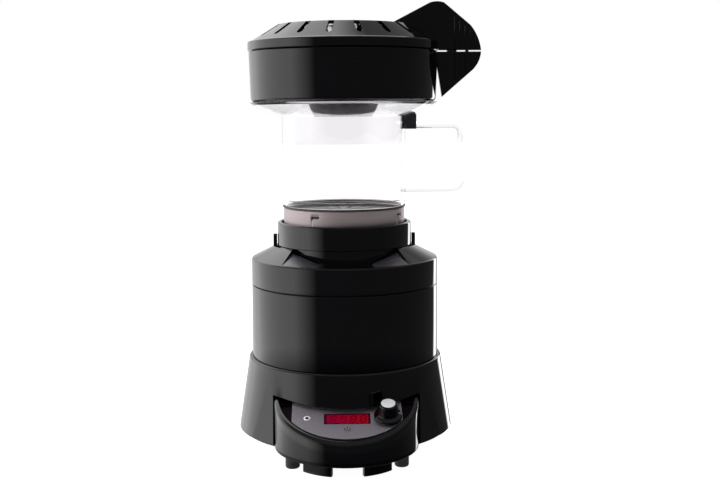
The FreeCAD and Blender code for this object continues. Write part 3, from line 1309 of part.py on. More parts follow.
def glass_outside():
    """The glass's outer profile, from its foot to its rim."""
    return [("glass_radius - glass_foot_inset", GLASS_FOOT),
            ("glass_radius", f"{GLASS_FOOT} + glass_foot_height"),
            ("glass_radius", GLASS_WAIST, "flare_curve", 1), ("flare_radius", GLASS_RIM)]


def glass_inside():
    """The glass's inner profile, from its rim to its foot."""
    inner = "(glass_radius - glass_wall)"
    return [("flare_radius - 1.8 * glass_wall", GLASS_RIM, "flare_curve - glass_wall", -1),
            (inner, f"{GLASS_WAIST} + glass_wall / 3"), (inner, f"{GLASS_FOOT} + glass_foot_height"),
            (f"{inner} - glass_foot_inset", GLASS_FOOT)]


def glass_envelope():
    """Everything inside the glass's outer surface."""
    return [("0", GLASS_FOOT), *glass_outside(), ("0", GLASS_RIM)]


def make_chamber_glass():
    body = new_body("chamber_glass")
    revolve(body, [*glass_outside(), *glass_inside()])


def make_glass_handle():
    """A bent glass rod; its ends follow the tube that they are fused to."""
    body = new_body("glass_handle")
    low, high = f"({GLASS_FOOT} + handle_lower)", f"({GLASS_FOOT} + handle_upper)"
    start = "(glass_radius - glass_wall - 1)"
    path = new_sketch(body, "XZ_Plane")
    corners = [(start, high), ("handle_reach - handle_bend", high), ("handle_reach", f"{high} - handle_bend"),
               ("handle_reach", f"{low} + handle_bend"), ("handle_reach - handle_bend", low), (start, low)]
    points = [Vector(number(x), number(z), 0) for x, z in corners]
    bend = number("handle_bend")
    edges = [Part.LineSegment(points[0], points[1]), arc_edge(points[1], points[2], bend, -1),
             Part.LineSegment(points[2], points[3]), arc_edge(points[3], points[4], bend, -1),
             Part.LineSegment(points[4], points[5])]
    path.addGeometry(edges, False)
    joins = [(0, 2, 1, 2), (1, 1, 2, 1), (2, 2, 3, 2), (3, 1, 4, 1)]
    path.addConstraint([Sketcher.Constraint("Coincident", *join) for join in joins])
    ends = [(0, 1), (0, 2), (2, 1), (2, 2), (4, 1), (4, 2)]
    first = path.ConstraintCount
    rules = []
    for (edge, end), point in zip(ends, points):
        rules += [Sketcher.Constraint("DistanceX", edge, end, point.x),
                  Sketcher.Constraint("DistanceY", edge, end, point.y)]
    rules += [Sketcher.Constraint("Radius", edge, bend) for edge in (1, 3)]
    path.addConstraint(rules)
    expressions = [value for corner in corners for value in corner] + ["handle_bend", "handle_bend"]
    for offset, expression in enumerate(expressions):
        bind(path, f"Constraints[{first + offset}]", expression)
    section = new_sketch(body, "YZ_Plane", lift=start)
    circle(section, "0", high, "handle_rod_radius")
    pipe = body.newObject("PartDesign::AdditivePipe", "glass_handle_rod")
    pipe.Profile = section
    pipe.Spine = path
    groove(body, glass_envelope())


def make_handle_clip():
    """The block round the handle's upper arm, shaped to the glass behind it."""
    body = new_body("handle_clip")
    arm = f"({GLASS_FOOT} + handle_upper)"
    low, high = f"({arm} - clip_drop)", f"({arm} + clip_rise)"
    side = new_sketch(body, "XZ_Plane")
    start = "(glass_radius - glass_wall)"
    outline(side, [(start, low), ("clip_reach", low), ("clip_reach", f"{high} - clip_chamfer"),
                   ("clip_reach - clip_chamfer", high), (start, high)])
    pad(body, side, "2 * clip_half_width", symmetric=True)
    bore = new_sketch(body, "YZ_Plane")
    circle(bore, "0", arm, "handle_rod_radius")
    cut(body, bore)
    groove(body, glass_envelope())


# ------------------------------------------------------------------- collector
def collector_outside():
    """The collector's outer profile, from its floor to the shoulder."""
    return [("collector_foot_radius - collector_rounding", GLASS_RIM, "collector_rounding", 1),
            ("collector_foot_radius", f"{GLASS_RIM} + collector_rounding"), ("collector_radius", SHOULDER)]


def make_collector_body():
    body = new_body("collector_body")
    hole = "(nozzle_radius + nozzle_gap)"
    tongue_outer = "(collector_radius - collector_wall)"
    inner_foot = "(collector_foot_radius - collector_wall)"
    revolve(body, [(hole, GLASS_RIM), *collector_outside(), (tongue_outer, SHOULDER),
                   (tongue_outer, TONGUE_TOP), (TONGUE_INNER, TONGUE_TOP),
                   (TONGUE_INNER, f"{SHOULDER} - collector_wall"),
                   (tongue_outer, f"{SHOULDER} - 2 * collector_wall"), (inner_foot, FLOOR_TOP),
                   (hole, FLOOR_TOP)])


def make_inlet_nozzle():
    body = new_body("inlet_nozzle")
    mouth = f"({GLASS_RIM} - nozzle_drop)"
    flange = "(nozzle_radius + nozzle_flange)"
    revolve(body, [("nozzle_mouth_radius - nozzle_wall", mouth), ("nozzle_mouth_radius", mouth),
                   ("nozzle_radius", f"{GLASS_RIM} - nozzle_gap"), ("nozzle_radius", FLOOR_TOP),
                   (flange, FLOOR_TOP), (flange, f"{FLOOR_TOP} + nozzle_wall"),
                   ("stack_radius + nozzle_wall", f"{FLOOR_TOP} + nozzle_wall"),
                   ("stack_radius", f"{FLOOR_TOP} + 3 * nozzle_wall"), ("stack_radius", STACK_TOP),
                   ("stack_radius - nozzle_wall", STACK_TOP),
                   ("stack_radius - nozzle_wall", f"{FLOOR_TOP} + 3 * nozzle_wall"),
                   ("nozzle_mouth_radius - nozzle_wall", GLASS_RIM)])


def make_chaff_deflector():
    """A shallow cone on three legs over the stack, which turns the chaff down."""
    body = new_body("chaff_deflector")
    foot = f"({STACK_TOP} + deflector_gap)"
    rise = "deflector_rise"
    revolve(body, [("0", f"{foot} + {rise}"), ("deflector_radius", foot),
                   ("deflector_radius", f"{foot} + deflector_thickness"),
                   ("0", f"{foot} + {rise} + deflector_thickness")])
    leg = new_sketch(body, lift=STACK_TOP)
    outer, inner = "stack_radius", "(stack_radius - nozzle_wall)"
    rectangle(leg, inner, f"{outer} - 0.02", "0 - deflector_leg", "deflector_leg")
    height = f"deflector_gap + {rise} * (1 - stack_radius / deflector_radius) + deflector_thickness / 2"
    repeat(body, pad(body, leg, height), "3")


# ------------------------------------------------------------------------- lid
def lid_outside():
    """The lid's outer profile, from its foot to the middle of its top."""
    return [("lid_radius", LID_FOOT), ("lid_radius", f"{LID_SHOULDER} - 0.8"),
            ("lid_radius - 0.8", LID_SHOULDER),
            ("lid_radius - lid_shoulder_inset", f"{LID_SHOULDER} + 0.5"),
            ("lid_top_radius", f"{LID_TOP} - 0.6"), ("lid_top_radius - 1.4", LID_TOP), ("0", LID_TOP)]


def make_lid():
    body = new_body("lid")
    tongue_room = "(collector_radius - collector_wall + lid_clearance)"
    cavity = f"({TONGUE_INNER} - lid_clearance)"
    revolve(body, [(tongue_room, LID_FOOT), *lid_outside(), ("0", f"{LID_TOP} - lid_wall"),
                   ("lid_top_radius - lid_wall / 2", f"{LID_TOP} - lid_wall"),
                   (cavity, LID_SHOULDER), (cavity, SEAL_TOP), (tongue_room, SEAL_TOP)])
    slot = new_sketch(body, lift=LID_TOP)
    half = "(lid_slot_width / 2)"
    outline(slot, [("lid_slot_inner", f"0 - {half}"), (f"lid_slot_outer - {half}", f"0 - {half}", half, 1),
                   ("lid_slot_outer", "0", half, 1), (f"lid_slot_outer - {half}", half),
                   ("lid_slot_inner", half)])
    slot_cut = cut(body, slot, "lid_bevel_rise + lid_wall")
    repeat(body, slot_cut, "lid_slot_count")


def make_screen_cartridge():
    """The parts that drop into the collector's mouth under the lid: a seal on
    the tongue, and the screen in its frame, hung from the seal's inner edge."""
    seal_outer = f"({TONGUE_INNER} + seal_width)"
    ring("lid_seal", "(screen_ring_radius - screen_ring_width / 2)", seal_outer, TONGUE_TOP, "seal_thickness")
    inner = "(screen_ring_radius - screen_ring_width)"
    foot = f"({TONGUE_TOP} - screen_ring_height)"
    ring("screen_frame", inner, "screen_ring_radius", foot, "screen_ring_height")
    screen = ring("chaff_screen", "screen_hole_radius", "screen_ring_radius",
                  f"({foot} - screen_thickness)", "screen_thickness")
    hole = new_sketch(screen, lift=foot)
    circle(hole, "screen_hole_orbit", "0", "screen_hole_radius")
    repeat(screen, cut(screen, hole, "screen_thickness"), "screen_hole_count")


# ----------------------------------------------------------------------- grips
def upper_grip_outline():
    crown_low = f"({LID_TOP} + grip_peak_rise - grip_crown_drop)"
    crown_curve = "((grip_crown_half^2 + grip_crown_drop^2) / (2 * grip_crown_drop))"
    seam = f"({GRIP_SEAM} + grip_gap)"
    return [("grip_root", f"{LID_TOP} - lid_wall"), ("grip_root", f"{LID_TOP} + grip_root_rise"),
            ("grip_peak_x - grip_crown_half", crown_low, crown_curve, -1),
            ("grip_peak_x + grip_crown_half", crown_low),
            ("grip_reach - grip_nose_inset", f"{GRIP_SEAM} + grip_nose_rise", "grip_nose_curve", -1),
            ("grip_reach", seam), ("lid_top_radius", seam)]


def lower_grip_outline():
    seam = f"({GRIP_SEAM} - grip_gap)"
    return [("grip_reach", seam, "lower_nose_curve", -1),
            ("grip_reach - grip_nose_inset", f"{GRIP_SEAM} - lower_nose_drop"),
            ("lower_tip_x", f"{GRIP_SEAM} - lower_tip_drop"),
            ("collector_radius", f"{GRIP_SEAM} - lower_root_drop"),
            ("collector_radius - 2 * collector_wall", f"{GRIP_SEAM} - lower_root_drop"),
            ("collector_radius - 2 * collector_wall", seam)]


def slope_height(x):
    """Height of the upper grip's straight outer slope over the distance x."""
    top = f"({LID_TOP} + grip_peak_rise - grip_crown_drop)"
    foot = f"({GRIP_SEAM} + grip_nose_rise)"
    run = "(grip_reach - grip_nose_inset - grip_peak_x - grip_crown_half)"
    return f"({top} - ({top} - {foot}) * ({x} - grip_peak_x - grip_crown_half) / {run})"


def lower_slope_height(x):
    """Height of the lower grip's straight slope under the distance x."""
    run = "(grip_reach - grip_nose_inset - lower_tip_x)"
    rise = f"(lower_tip_drop - lower_nose_drop) * ({x} - lower_tip_x) / {run}"
    return f"({GRIP_SEAM} - lower_tip_drop + {rise})"


RIB_SPACING = "((grip_reach - rib_last_gap - rib_first_x) / rib_count)"


def add_ribs(body, upper):
    """Upright ribs on both faces of a grip, each inside the grip's outline."""
    ribs = new_sketch(body, "XZ_Plane")
    for index in range(int(number("rib_count"))):
        left = f"(rib_first_x + {index} * {RIB_SPACING})"
        right = f"({left} + rib_share * {RIB_SPACING})"
        if upper:
            low, high = f"{GRIP_SEAM} + grip_gap", f"{slope_height(right)} - rib_margin"
        else:
            low, high = f"{lower_slope_height(right)} + rib_margin", f"{GRIP_SEAM} - grip_gap"
        rectangle(ribs, left, right, low, high)
    pad(body, ribs, "2 * (grip_half_thickness + rib_proud)", symmetric=True)


def make_grips():
    upper = new_body("upper_grip")
    sketch = new_sketch(upper, "XZ_Plane")
    outline(sketch, upper_grip_outline())
    pad(upper, sketch, "2 * grip_half_thickness", symmetric=True)
    add_ribs(upper, True)
    groove(upper, [("0", LID_FOOT), *lid_outside()])
    lower = new_body("lower_grip")
    sketch = new_sketch(lower, "XZ_Plane")
    outline(sketch, lower_grip_outline())
    pad(lower, sketch, "2 * grip_half_thickness", symmetric=True)
    add_ribs(lower, False)
    pads = new_sketch(lower, "XZ_Plane")
    first_end = "(grip_pad_inner + grip_pad_length)"
    second = f"({first_end} + grip_pad_spacing)"
    for left, right in (("grip_pad_inner", first_end), (second, f"{second} + grip_pad_outer_length")):
        rectangle(pads, left, right, f"{GRIP_SEAM} - 2 * grip_gap", f"{GRIP_SEAM} + grip_gap - grip_pad_gap")
    pad(lower, pads, "2 * (grip_half_thickness - grip_pad_inset)", symmetric=True)
    groove(lower, [("0", GLASS_RIM), *collector_outside(), ("0", SHOULDER)])


# ------------------------------------------------------------------ build, check
def make_base():
    make_bottom_pan()
    make_intake_grille()
    make_rubber_feet()
    make_base_skirt()
    make_front_bumper()
    make_cord_gland()
    make_main_housing()
    make_top_housing()
    make_neck_ring()
    ring("base_seal", "(collar_radius - base_seal_width)", "collar_radius", LEDGE_TOP, "base_seal_thickness")


def make_controls():
    make_control_panel()
    make_display()
    make_indicator_lens()
    make_control_board()
    make_power_key()
    make_key_switch()
    make_encoder()
    make_knob()


def make_machinery():
    make_blower()
    make_impeller()
    make_motor()
    make_air_duct()
    make_heater()
    make_power_board()
    make_screws()


def make_chamber_and_collector():
    make_collar()
    make_air_plate()
    make_chamber_glass()
    make_glass_handle()
    make_handle_clip()
    make_collector_body()
    make_inlet_nozzle()
    make_chaff_deflector()
    make_lid()
    make_screen_cartridge()
    make_grips()


def check():
    """Stop if any object failed, any sub-part is empty, or any cut cut nothing."""
    for item in doc.Objects:
        if "Invalid" in item.State or "Error" in item.State:
            raise RuntimeError(f"{item.Name} failed: {item.State}")
        if item.TypeId in ("PartDesign::Pocket", "PartDesign::Groove", "PartDesign::SubtractiveLoft"):
            if item.Shape.Volume >= item.BaseFeature.Shape.Volume - 1e-6:
                raise RuntimeError(f"{item.Name} cuts nothing")
    for item in parts:
        if item.Shape.isNull() or not item.Shape.isValid() or not item.Shape.Solids:
            raise RuntimeError(f"{item.Label} has no valid solid")


make_base()
make_controls()
make_machinery()
make_chamber_and_collector()
doc.recompute()
check()
os.makedirs("parts", exist_ok=True)
for item in parts:
    item.Shape.exportStep(f"parts/{item.Label}.step")
print(len(parts), "sub-parts written")
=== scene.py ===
"""Dresses a home coffee bean roaster: smooth surfaces over the solids, and finishes."""
import math

import bmesh
import bpy
import numpy as np
from bpy.props import FloatProperty, FloatVectorProperty, IntProperty, PointerProperty
from bpy.types import Operator, Panel, PropertyGroup
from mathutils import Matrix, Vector


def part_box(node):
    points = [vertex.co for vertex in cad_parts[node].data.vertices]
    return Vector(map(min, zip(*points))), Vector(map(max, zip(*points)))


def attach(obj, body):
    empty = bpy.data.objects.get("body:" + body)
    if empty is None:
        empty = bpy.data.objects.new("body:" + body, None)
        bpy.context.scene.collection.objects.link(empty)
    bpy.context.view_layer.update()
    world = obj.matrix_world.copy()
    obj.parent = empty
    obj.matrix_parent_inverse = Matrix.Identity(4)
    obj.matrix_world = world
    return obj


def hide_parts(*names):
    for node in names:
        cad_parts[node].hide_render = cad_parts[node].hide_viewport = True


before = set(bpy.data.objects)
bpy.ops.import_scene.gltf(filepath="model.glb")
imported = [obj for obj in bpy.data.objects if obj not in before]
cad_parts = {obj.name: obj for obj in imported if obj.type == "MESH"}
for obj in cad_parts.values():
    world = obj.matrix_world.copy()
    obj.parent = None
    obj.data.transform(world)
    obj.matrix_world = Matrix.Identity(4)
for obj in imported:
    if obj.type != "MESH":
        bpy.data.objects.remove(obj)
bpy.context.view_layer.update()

bl_info = {
    "name": "Coffee roaster dressing",
    "version": (1, 0, 0),
    "blender": (4, 5, 0),
    "location": "View3D > Sidebar > Roaster",
    "description": "Builds the visible surfaces and the finishes of a home coffee bean roaster",
    "category": "Add Mesh",
}

MM = 0.001
SLOPE = math.radians(20.0)
NOSE_Y = -49.0
NOSE_TIP, NOSE_TIP_HEIGHT = 97.5, 25.6
# the grips lie in the XZ plane: their outlines' y is the roaster's Z
SIDEWAYS = (np.zeros(3), np.array([[1.0, 0, 0], [0, 0, 1.0], [0, -1.0, 0]]))


def corners(node):
    """Lowest and highest corner of a solid, in millimetres."""
    low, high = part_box(node)
    return np.array(low) / MM, np.array(high) / MM


# ------------------------------------------------------------------ sizes and finishes
class RoasterSizes(PropertyGroup):
    """Sizes of the details that the solids leave to this dressing."""

    wall: FloatProperty(name="Shell wall", description="Wall of the moulded shells", default=2.4 * MM,
                        min=1 * MM, max=4 * MM, unit="LENGTH")
    lid_slots: IntProperty(name="Lid slots", description="Slots round the lid's bevel", default=18, min=8,
                           max=24)
    slot_width: FloatProperty(name="Slot width", description="Width of a lid slot", default=4.0 * MM,
                              min=2 * MM, max=6 * MM, unit="LENGTH")
    grip_ribs: IntProperty(name="Grip ribs", description="Upright ribs on each grip face", default=5, min=0,
                           max=6)
    digit_height: FloatProperty(name="Digit height", description="Height of the display's digits",
                                default=7.4 * MM,
                                min=4 * MM, max=9 * MM, unit="LENGTH")
    steps: IntProperty(name="Steps round", description="Facets round the turned shells", default=240, min=48,
                       max=720)


class RoasterFinishes(PropertyGroup):
    """Colours and gloss of the finishes."""

    shell: FloatVectorProperty(name="Shell plastic", description="Polished black plastic of the shells",
                               default=(0.0007, 0.0005, 0.0011), subtype="COLOR", min=0, max=1)
    shell_gloss: FloatProperty(name="Shell roughness", description="Roughness of the polished plastic",
                               default=0.055, min=0.01, max=0.6, subtype="FACTOR")
    inner: FloatVectorProperty(name="Inner plastic", description="Grained black plastic of the hidden pieces",
                               default=(0.010, 0.009, 0.011), subtype="COLOR", min=0, max=1)
    collar: FloatVectorProperty(name="Collar steel", description="Brushed steel of the chamber's collar",
                                default=(0.36, 0.30, 0.31), subtype="COLOR", min=0, max=1)
    panel: FloatVectorProperty(name="Panel", description="Satin lacquer of the control panel",
                               default=(0.29, 0.265, 0.30), subtype="COLOR", min=0, max=1)
    glass: FloatVectorProperty(name="Glass", description="Tint of the glass", default=(0.985, 0.975, 0.99),
                               subtype="COLOR", min=0, max=1)
    # painted glow: the display field emits these colours though no lamp lights it
    painted_glow_left: FloatVectorProperty(name="Display, left", description="Glow of the display's left end",
                                   default=(0.16, 0.0, 0.018), subtype="COLOR", min=0, max=1)
    painted_glow_right: FloatVectorProperty(name="Display, right", description="Glow of the display's right end",
                                    default=(0.27, 0.0, 0.002), subtype="COLOR", min=0, max=1)


class RoasterStudio(PropertyGroup):
    """Camera and lamps."""

    eye: FloatVectorProperty(name="Eye", description="Where the camera stands",
                             default=(-0.0106, -0.7615, 0.2377),
                             subtype="TRANSLATION", unit="LENGTH")
    pitch: FloatProperty(name="Tilt", description="Camera's tilt from straight down",
                         default=math.radians(87.464),
                         subtype="ANGLE")
    roll: FloatProperty(name="Roll", description="Camera's roll", default=math.radians(0.362),
                        subtype="ANGLE")
    yaw: FloatProperty(name="Turn", description="Camera's turn about the upright",
                       default=math.radians(-1.683),
                       subtype="ANGLE")
    rise: FloatProperty(name="Shift", description="Lens shift upwards, in film widths", default=-0.12)
    lens: FloatProperty(name="Lens", description="Focal length on a 36 mm film", default=53.44, min=20,
                        max=200)
    overhead: FloatProperty(name="Overhead lamp", description="Power of the overhead softbox", default=26.0,
                            min=0, max=400, unit="POWER")
    side: FloatProperty(name="Side lamp", description="Power of the left softbox", default=9.0, min=0,
                        max=400,
                        unit="POWER")


# ------------------------------------------------------------------------ surfaces
def sheet(points, wrap_rows=False, wrap_columns=False, keep=None):
    """A grid of points as quads: point (i, j) joins (i + 1, j), (i + 1, j + 1) and
    (i, j + 1), taken round where a direction wraps. keep marks the quads to keep."""
    rows, columns = points.shape[:2]
    i, j = np.meshgrid(np.arange(rows if wrap_rows else rows - 1),
                       np.arange(columns if wrap_columns else columns - 1), indexing="ij")
    below, beside = (i + 1) % rows, (j + 1) % columns
    quads = np.stack([i * columns + j, below * columns + j, below * columns + beside, i * columns + beside],
                     -1)
    quads = quads.reshape(-1, 4) if keep is None else quads[keep]
    return points.reshape(-1, 3), [quads]


def joined(*sheets):
    """Several sheets as one: each one's indices move on by the points before it."""
    sizes = [len(points) for points, _ in sheets]
    starts = np.concatenate([[0], np.cumsum(sizes)[:-1]])
    faces = [block + start for (_, blocks), start in zip(sheets, starts) for block in blocks]
    return np.concatenate([points for points, _ in sheets]), faces


def placed(shape, where):
    """Points carried into a frame: origin + x * ex + y * ey + z * ez."""
    origin, axes = where
    return shape[0] @ axes + origin, shape[1]


def rounded(points, steps=6):
    """A path with its corners rounded. A corner (x, y, r) becomes the arc of radius r
    that touches both its sides: centre + (s sin((1 - k) w) + e sin(k w)) / sin w, where
    s and e run from the centre to the arc's ends, w is the turn and k runs from 0 to 1."""
    flat = np.array([point[:2] for point in points], float)
    path = []
    for index, point in enumerate(points):
        radius = point[2] if len(point) > 2 else 0.0
        if radius <= 0:
            path.append(flat[index][None])
            continue
        a = flat[index - 1] - flat[index]
        b = flat[(index + 1) % len(flat)] - flat[index]
        a, b = a / np.linalg.norm(a), b / np.linalg.norm(b)
        half = math.acos(np.clip(a @ b, -1, 1)) / 2
        reach = radius / math.tan(half)
        centre = flat[index] + (a + b) / np.linalg.norm(a + b) * radius / math.sin(half)
        s, e = flat[index] + a * reach - centre, flat[index] + b * reach - centre
        turn = math.pi - 2 * half
        k = np.linspace(0, 1, steps + 1)[:, None]
        path.append(centre + (s * np.sin((1 - k) * turn) + e * np.sin(k * turn)) / math.sin(turn))
    return np.concatenate(path)


def arc(start, end, radius, turn, steps=24):
    """Points of the short arc from start to end. Its centre lies at the chord's middle
    plus turn * sqrt(r^2 - half chord^2) along the chord's left normal."""
    start, end = np.array(start, float), np.array(end, float)
    chord = end - start
    length = np.linalg.norm(chord)
    side = np.array([-chord[1], chord[0]]) / length
    centre = (start + end) / 2 + side * turn * math.sqrt(max(radius**2 - length**2 / 4, 0))
    first, last = (math.atan2(*(point - centre)[::-1]) for point in (start, end))
    sweep = (last - first) % (2 * math.pi) if turn > 0 else -((first - last) % (2 * math.pi))
    angles = first + np.linspace(0, sweep, steps + 1)
    return centre + radius * np.stack([np.cos(angles), np.sin(angles)], -1)


def lathe(profile, steps, closed=True):
    """A profile of (radius, height) turned about Z: (r cos a, r sin a, z)."""
    profile = np.asarray(profile, float)
    angles = np.linspace(0, 2 * math.pi, steps, endpoint=False)
    points = np.stack([np.outer(np.cos(angles), profile[:, 0]), np.outer(np.sin(angles), profile[:, 0]),
                       np.broadcast_to(profile[:, 1], (steps, len(profile)))], -1)
    return sheet(points, wrap_rows=True, wrap_columns=closed)


def capped(shape, columns):
    """A sheet made of rings of so many points, its first and last ring closed by faces."""
    points, faces = shape
    ring = np.arange(columns)
    return points, faces + [ring[None], (ring + len(points) - columns)[None]]


def inset(outline, distance):
    """An anticlockwise closed outline moved inwards by distance: each point moves along
    the mean of its two edges' inward normals, over the cosine of half their angle."""
    ahead = np.roll(outline, -1, 0) - outline
    ahead /= np.linalg.norm(ahead, axis=1)[:, None]
    normals = np.stack([-ahead[:, 1], ahead[:, 0]], -1)
    mean = normals + np.roll(normals, 1, 0)
    mean /= np.maximum(np.linalg.norm(mean, axis=1)[:, None], 1e-9)
    stretch = np.maximum((mean * normals).sum(1)[:, None], 0.4)
    return outline + mean * distance / stretch


def slab(outline, low, high, edge, steps=4):
    """A closed outline raised from low to high with rounded edges: layer k of an edge is
    inset by e (1 - cos t) and stands e (1 - sin t) inside the face, t from 0 to 90."""
    outline = np.asarray(outline, float)
    t = np.linspace(0, math.pi / 2, steps + 1)
    insets, depths = edge * (1 - np.cos(t)), edge * (1 - np.sin(t))
    layers = [(edge * 1.35, low)] + [(d, low + h) for d, h in zip(insets[::-1], depths[::-1])]
    layers += [(d, high - h) for d, h in zip(insets, depths)] + [(edge * 1.35, high)]
    points = np.stack([np.column_stack([inset(outline, d), np.full(len(outline), h)]) for d, h in layers])
    return capped(sheet(points, wrap_columns=True), len(outline))


def box_outline(left, right, low, high, radius=0.0):
    return rounded([(left, low, radius), (right, low, radius), (right, high, radius), (left, high, radius)])


def tube(path, radius, sides=32):
    """A round rod along a path in the XZ plane: p + r (cos a) n + r (sin a) y, where n is
    the path's normal in its plane and y the direction across it."""
    path = np.asarray(path, float)
    along = np.gradient(path, axis=0)
    along /= np.linalg.norm(along, axis=1)[:, None]
    normal = np.column_stack([-along[:, 1], np.zeros(len(path)), along[:, 0]])
    centre = np.column_stack([path[:, 0], np.zeros(len(path)), path[:, 1]])
    angles = np.linspace(0, 2 * math.pi, sides, endpoint=False)
    across = np.array([0, 1.0, 0])
    return (centre[:, None] + radius * np.cos(angles)[None, :, None] * normal[:, None]
            + radius * np.sin(angles)[None, :, None] * across)


def piece(name, shape, body, finish, replaces=(), sharp=38.0, wall=0.0, edge=0.0, lining=None):
    """A named object from a sheet in millimetres: doubles merged, faces outwards, then a
    wall of the given thickness grown inwards and its edges rounded, where asked."""
    points, faces = shape
    mesh = bpy.data.meshes.new(name)
    mesh.from_pydata((points * MM).tolist(), [], [face for block in faces for face in block.tolist()])
    work = bmesh.new()
    work.from_mesh(mesh)
    bmesh.ops.remove_doubles(work, verts=work.verts, dist=2e-6)
    bmesh.ops.dissolve_degenerate(work, edges=work.edges, dist=1e-7)
    bmesh.ops.recalc_face_normals(work, faces=work.faces)
    work.to_mesh(mesh)
    work.free()
    return dressed(name, mesh, body, finish, replaces, sharp, wall, edge, lining)


def dressed(name, mesh, body, finish, replaces=(), sharp=38.0, wall=0.0, edge=0.0, lining=None):
    """The object for a mesh, with its finish, its modifiers and its body. The lining is
    the finish of a wall's inner side, where it differs."""
    thing = bpy.data.objects.new(name, mesh)
    bpy.context.scene.collection.objects.link(thing)
    mesh.materials.append(material(finish))
    mesh.polygons.foreach_set("use_smooth", np.ones(len(mesh.polygons), bool))
    mesh.set_sharp_from_angle(angle=math.radians(sharp))
    if wall:
        shell = thing.modifiers.new("wall", "SOLIDIFY")
        shell.thickness = wall * MM
        shell.offset = -1
        shell.use_even_offset = True
        if lining:
            mesh.materials.append(material(lining))
            shell.material_offset = 1
    if edge:
        bevel = thing.modifiers.new("edge", "BEVEL")
        bevel.width = edge * MM
        bevel.segments = 3
        bevel.limit_method = "ANGLE"
        bevel.angle_limit = math.radians(40)
        bevel.harden_normals = True
        bevel.use_clamp_overlap = True
    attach(thing, body)
    if replaces:
        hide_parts(*replaces)
    return thing


def copied(node, body, finish, edge=0.4, sharp=38.0):
    """A solid's own shape, its loose triangles merged, with rounded edges."""
    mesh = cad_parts[node].data.copy()
    mesh.materials.clear()
    work = bmesh.new()
    work.from_mesh(mesh)
    bmesh.ops.remove_doubles(work, verts=work.verts, dist=1e-6)
    bmesh.ops.dissolve_limit(work, angle_limit=math.radians(0.5), verts=work.verts, edges=work.edges)
    work.to_mesh(mesh)
    work.free()
    return dressed(f"{node}_skin", mesh, body, finish, (node,), sharp, 0.0, edge)


# ------------------------------------------------------------------------ finishes
class Recipe:
    """Short names for building a material's nodes."""

    def __init__(self, name):
        self.material = bpy.data.materials.new(name)
        self.material.use_nodes = True
        self.tree = self.material.node_tree
        self.shader = self.tree.nodes["Principled BSDF"]
        self.place = self.tree.nodes.new("ShaderNodeTexCoord").outputs["Object"]

    def set(self, **values):
        for name, value in values.items():
            socket = self.shader.inputs[name.replace("_", " ")]
            socket.default_value = (*value, 1) if socket.type == "RGBA" and len(value) == 3 else value

    def node(self, kind, **values):
        made = self.tree.nodes.new(kind)
        for name, value in values.items():
            if hasattr(made, name):
                setattr(made, name, value)
            else:
                made.inputs[name.replace("_", " ")].default_value = value
        return made

    def link(self, source, target):
        self.tree.links.new(source, target)

    def stretched(self, scale):
        """Object coordinates multiplied by scale along each axis."""
        mapping = self.node("ShaderNodeMapping")
        mapping.inputs["Scale"].default_value = scale
        self.link(self.place, mapping.inputs["Vector"])
        return mapping.outputs["Vector"]

    def noise(self, scale, detail=3.0, stretch=None):
        """Fractal noise over the piece, from 0 to 1."""
        made = self.node("ShaderNodeTexNoise", Scale=scale, Detail=detail)
        self.link(self.stretched(stretch) if stretch else self.place, made.inputs["Vector"])
        return made.outputs["Fac"]

    def spread(self, value, low, high, start=0.3, end=0.7):
        """value carried from start..end to low..high."""
        made = self.node("ShaderNodeMapRange")
        for name, number in (("From Min", start), ("From Max", end), ("To Min", low), ("To Max", high)):
            made.inputs[name].default_value = number
        self.link(value, made.inputs["Value"])
        return made.outputs["Result"]

    def blend(self, value, first, second):
        """A colour between two, by value."""
        made = self.node("ShaderNodeMix", data_type="RGBA")
        made.inputs[6].default_value, made.inputs[7].default_value = (*first, 1), (*second, 1)
        self.link(value, made.inputs["Factor"])
        return made.outputs[2]

    def bump(self, height, strength, distance):
        made = self.node("ShaderNodeBump", Strength=strength, Distance=distance)
        self.link(height, made.inputs["Height"])
        self.link(made.outputs["Normal"], self.shader.inputs["Normal"])


def shade(colour, factor):
    return tuple(min(1.0, channel * factor) for channel in colour)


def plastic(name, colour, roughness, grain, gloss_spread=0.03, ior=1.5):
    """Moulded plastic: noise moves the colour and the roughness a little, and a fine
    noise raises the grain."""
    recipe = Recipe(name)
    recipe.link(recipe.blend(recipe.spread(recipe.noise(35), 0, 1), shade(colour, 0.85), shade(colour, 1.2)),
                recipe.shader.inputs["Base Color"])
    recipe.link(recipe.spread(recipe.noise(70, 4), max(0.02, roughness - gloss_spread),
                              roughness + gloss_spread),
                recipe.shader.inputs["Roughness"])
    recipe.bump(recipe.noise(grain, 2), 0.04 if roughness < 0.3 else 0.35, 0.00004)
    recipe.set(IOR=ior)
    return recipe.material


def metal(name, colour, roughness, stretch, strength=0.15, metallic=1.0):
    """Brushed or turned metal: noise drawn out along the brush marks moves the roughness
    and raises the marks."""
    recipe = Recipe(name)
    lines = recipe.noise(1.0, 4, stretch)
    recipe.link(recipe.blend(recipe.spread(lines, 0, 1), shade(colour, 0.88), shade(colour, 1.08)),
                recipe.shader.inputs["Base Color"])
    recipe.link(recipe.spread(lines, roughness - 0.05, roughness + 0.07), recipe.shader.inputs["Roughness"])
    recipe.bump(lines, strength, 0.00003)
    recipe.set(Metallic=metallic)
    return recipe.material


def clear_glass(name, colour, roughness=0.0):
    """Blown glass, with faint waves in its surface."""
    recipe = Recipe(name)
    recipe.set(Base_Color=colour, Transmission_Weight=1.0, IOR=1.47, Roughness=roughness)
    recipe.bump(recipe.noise(24, 2), 0.03, 0.00008)
    return recipe.material


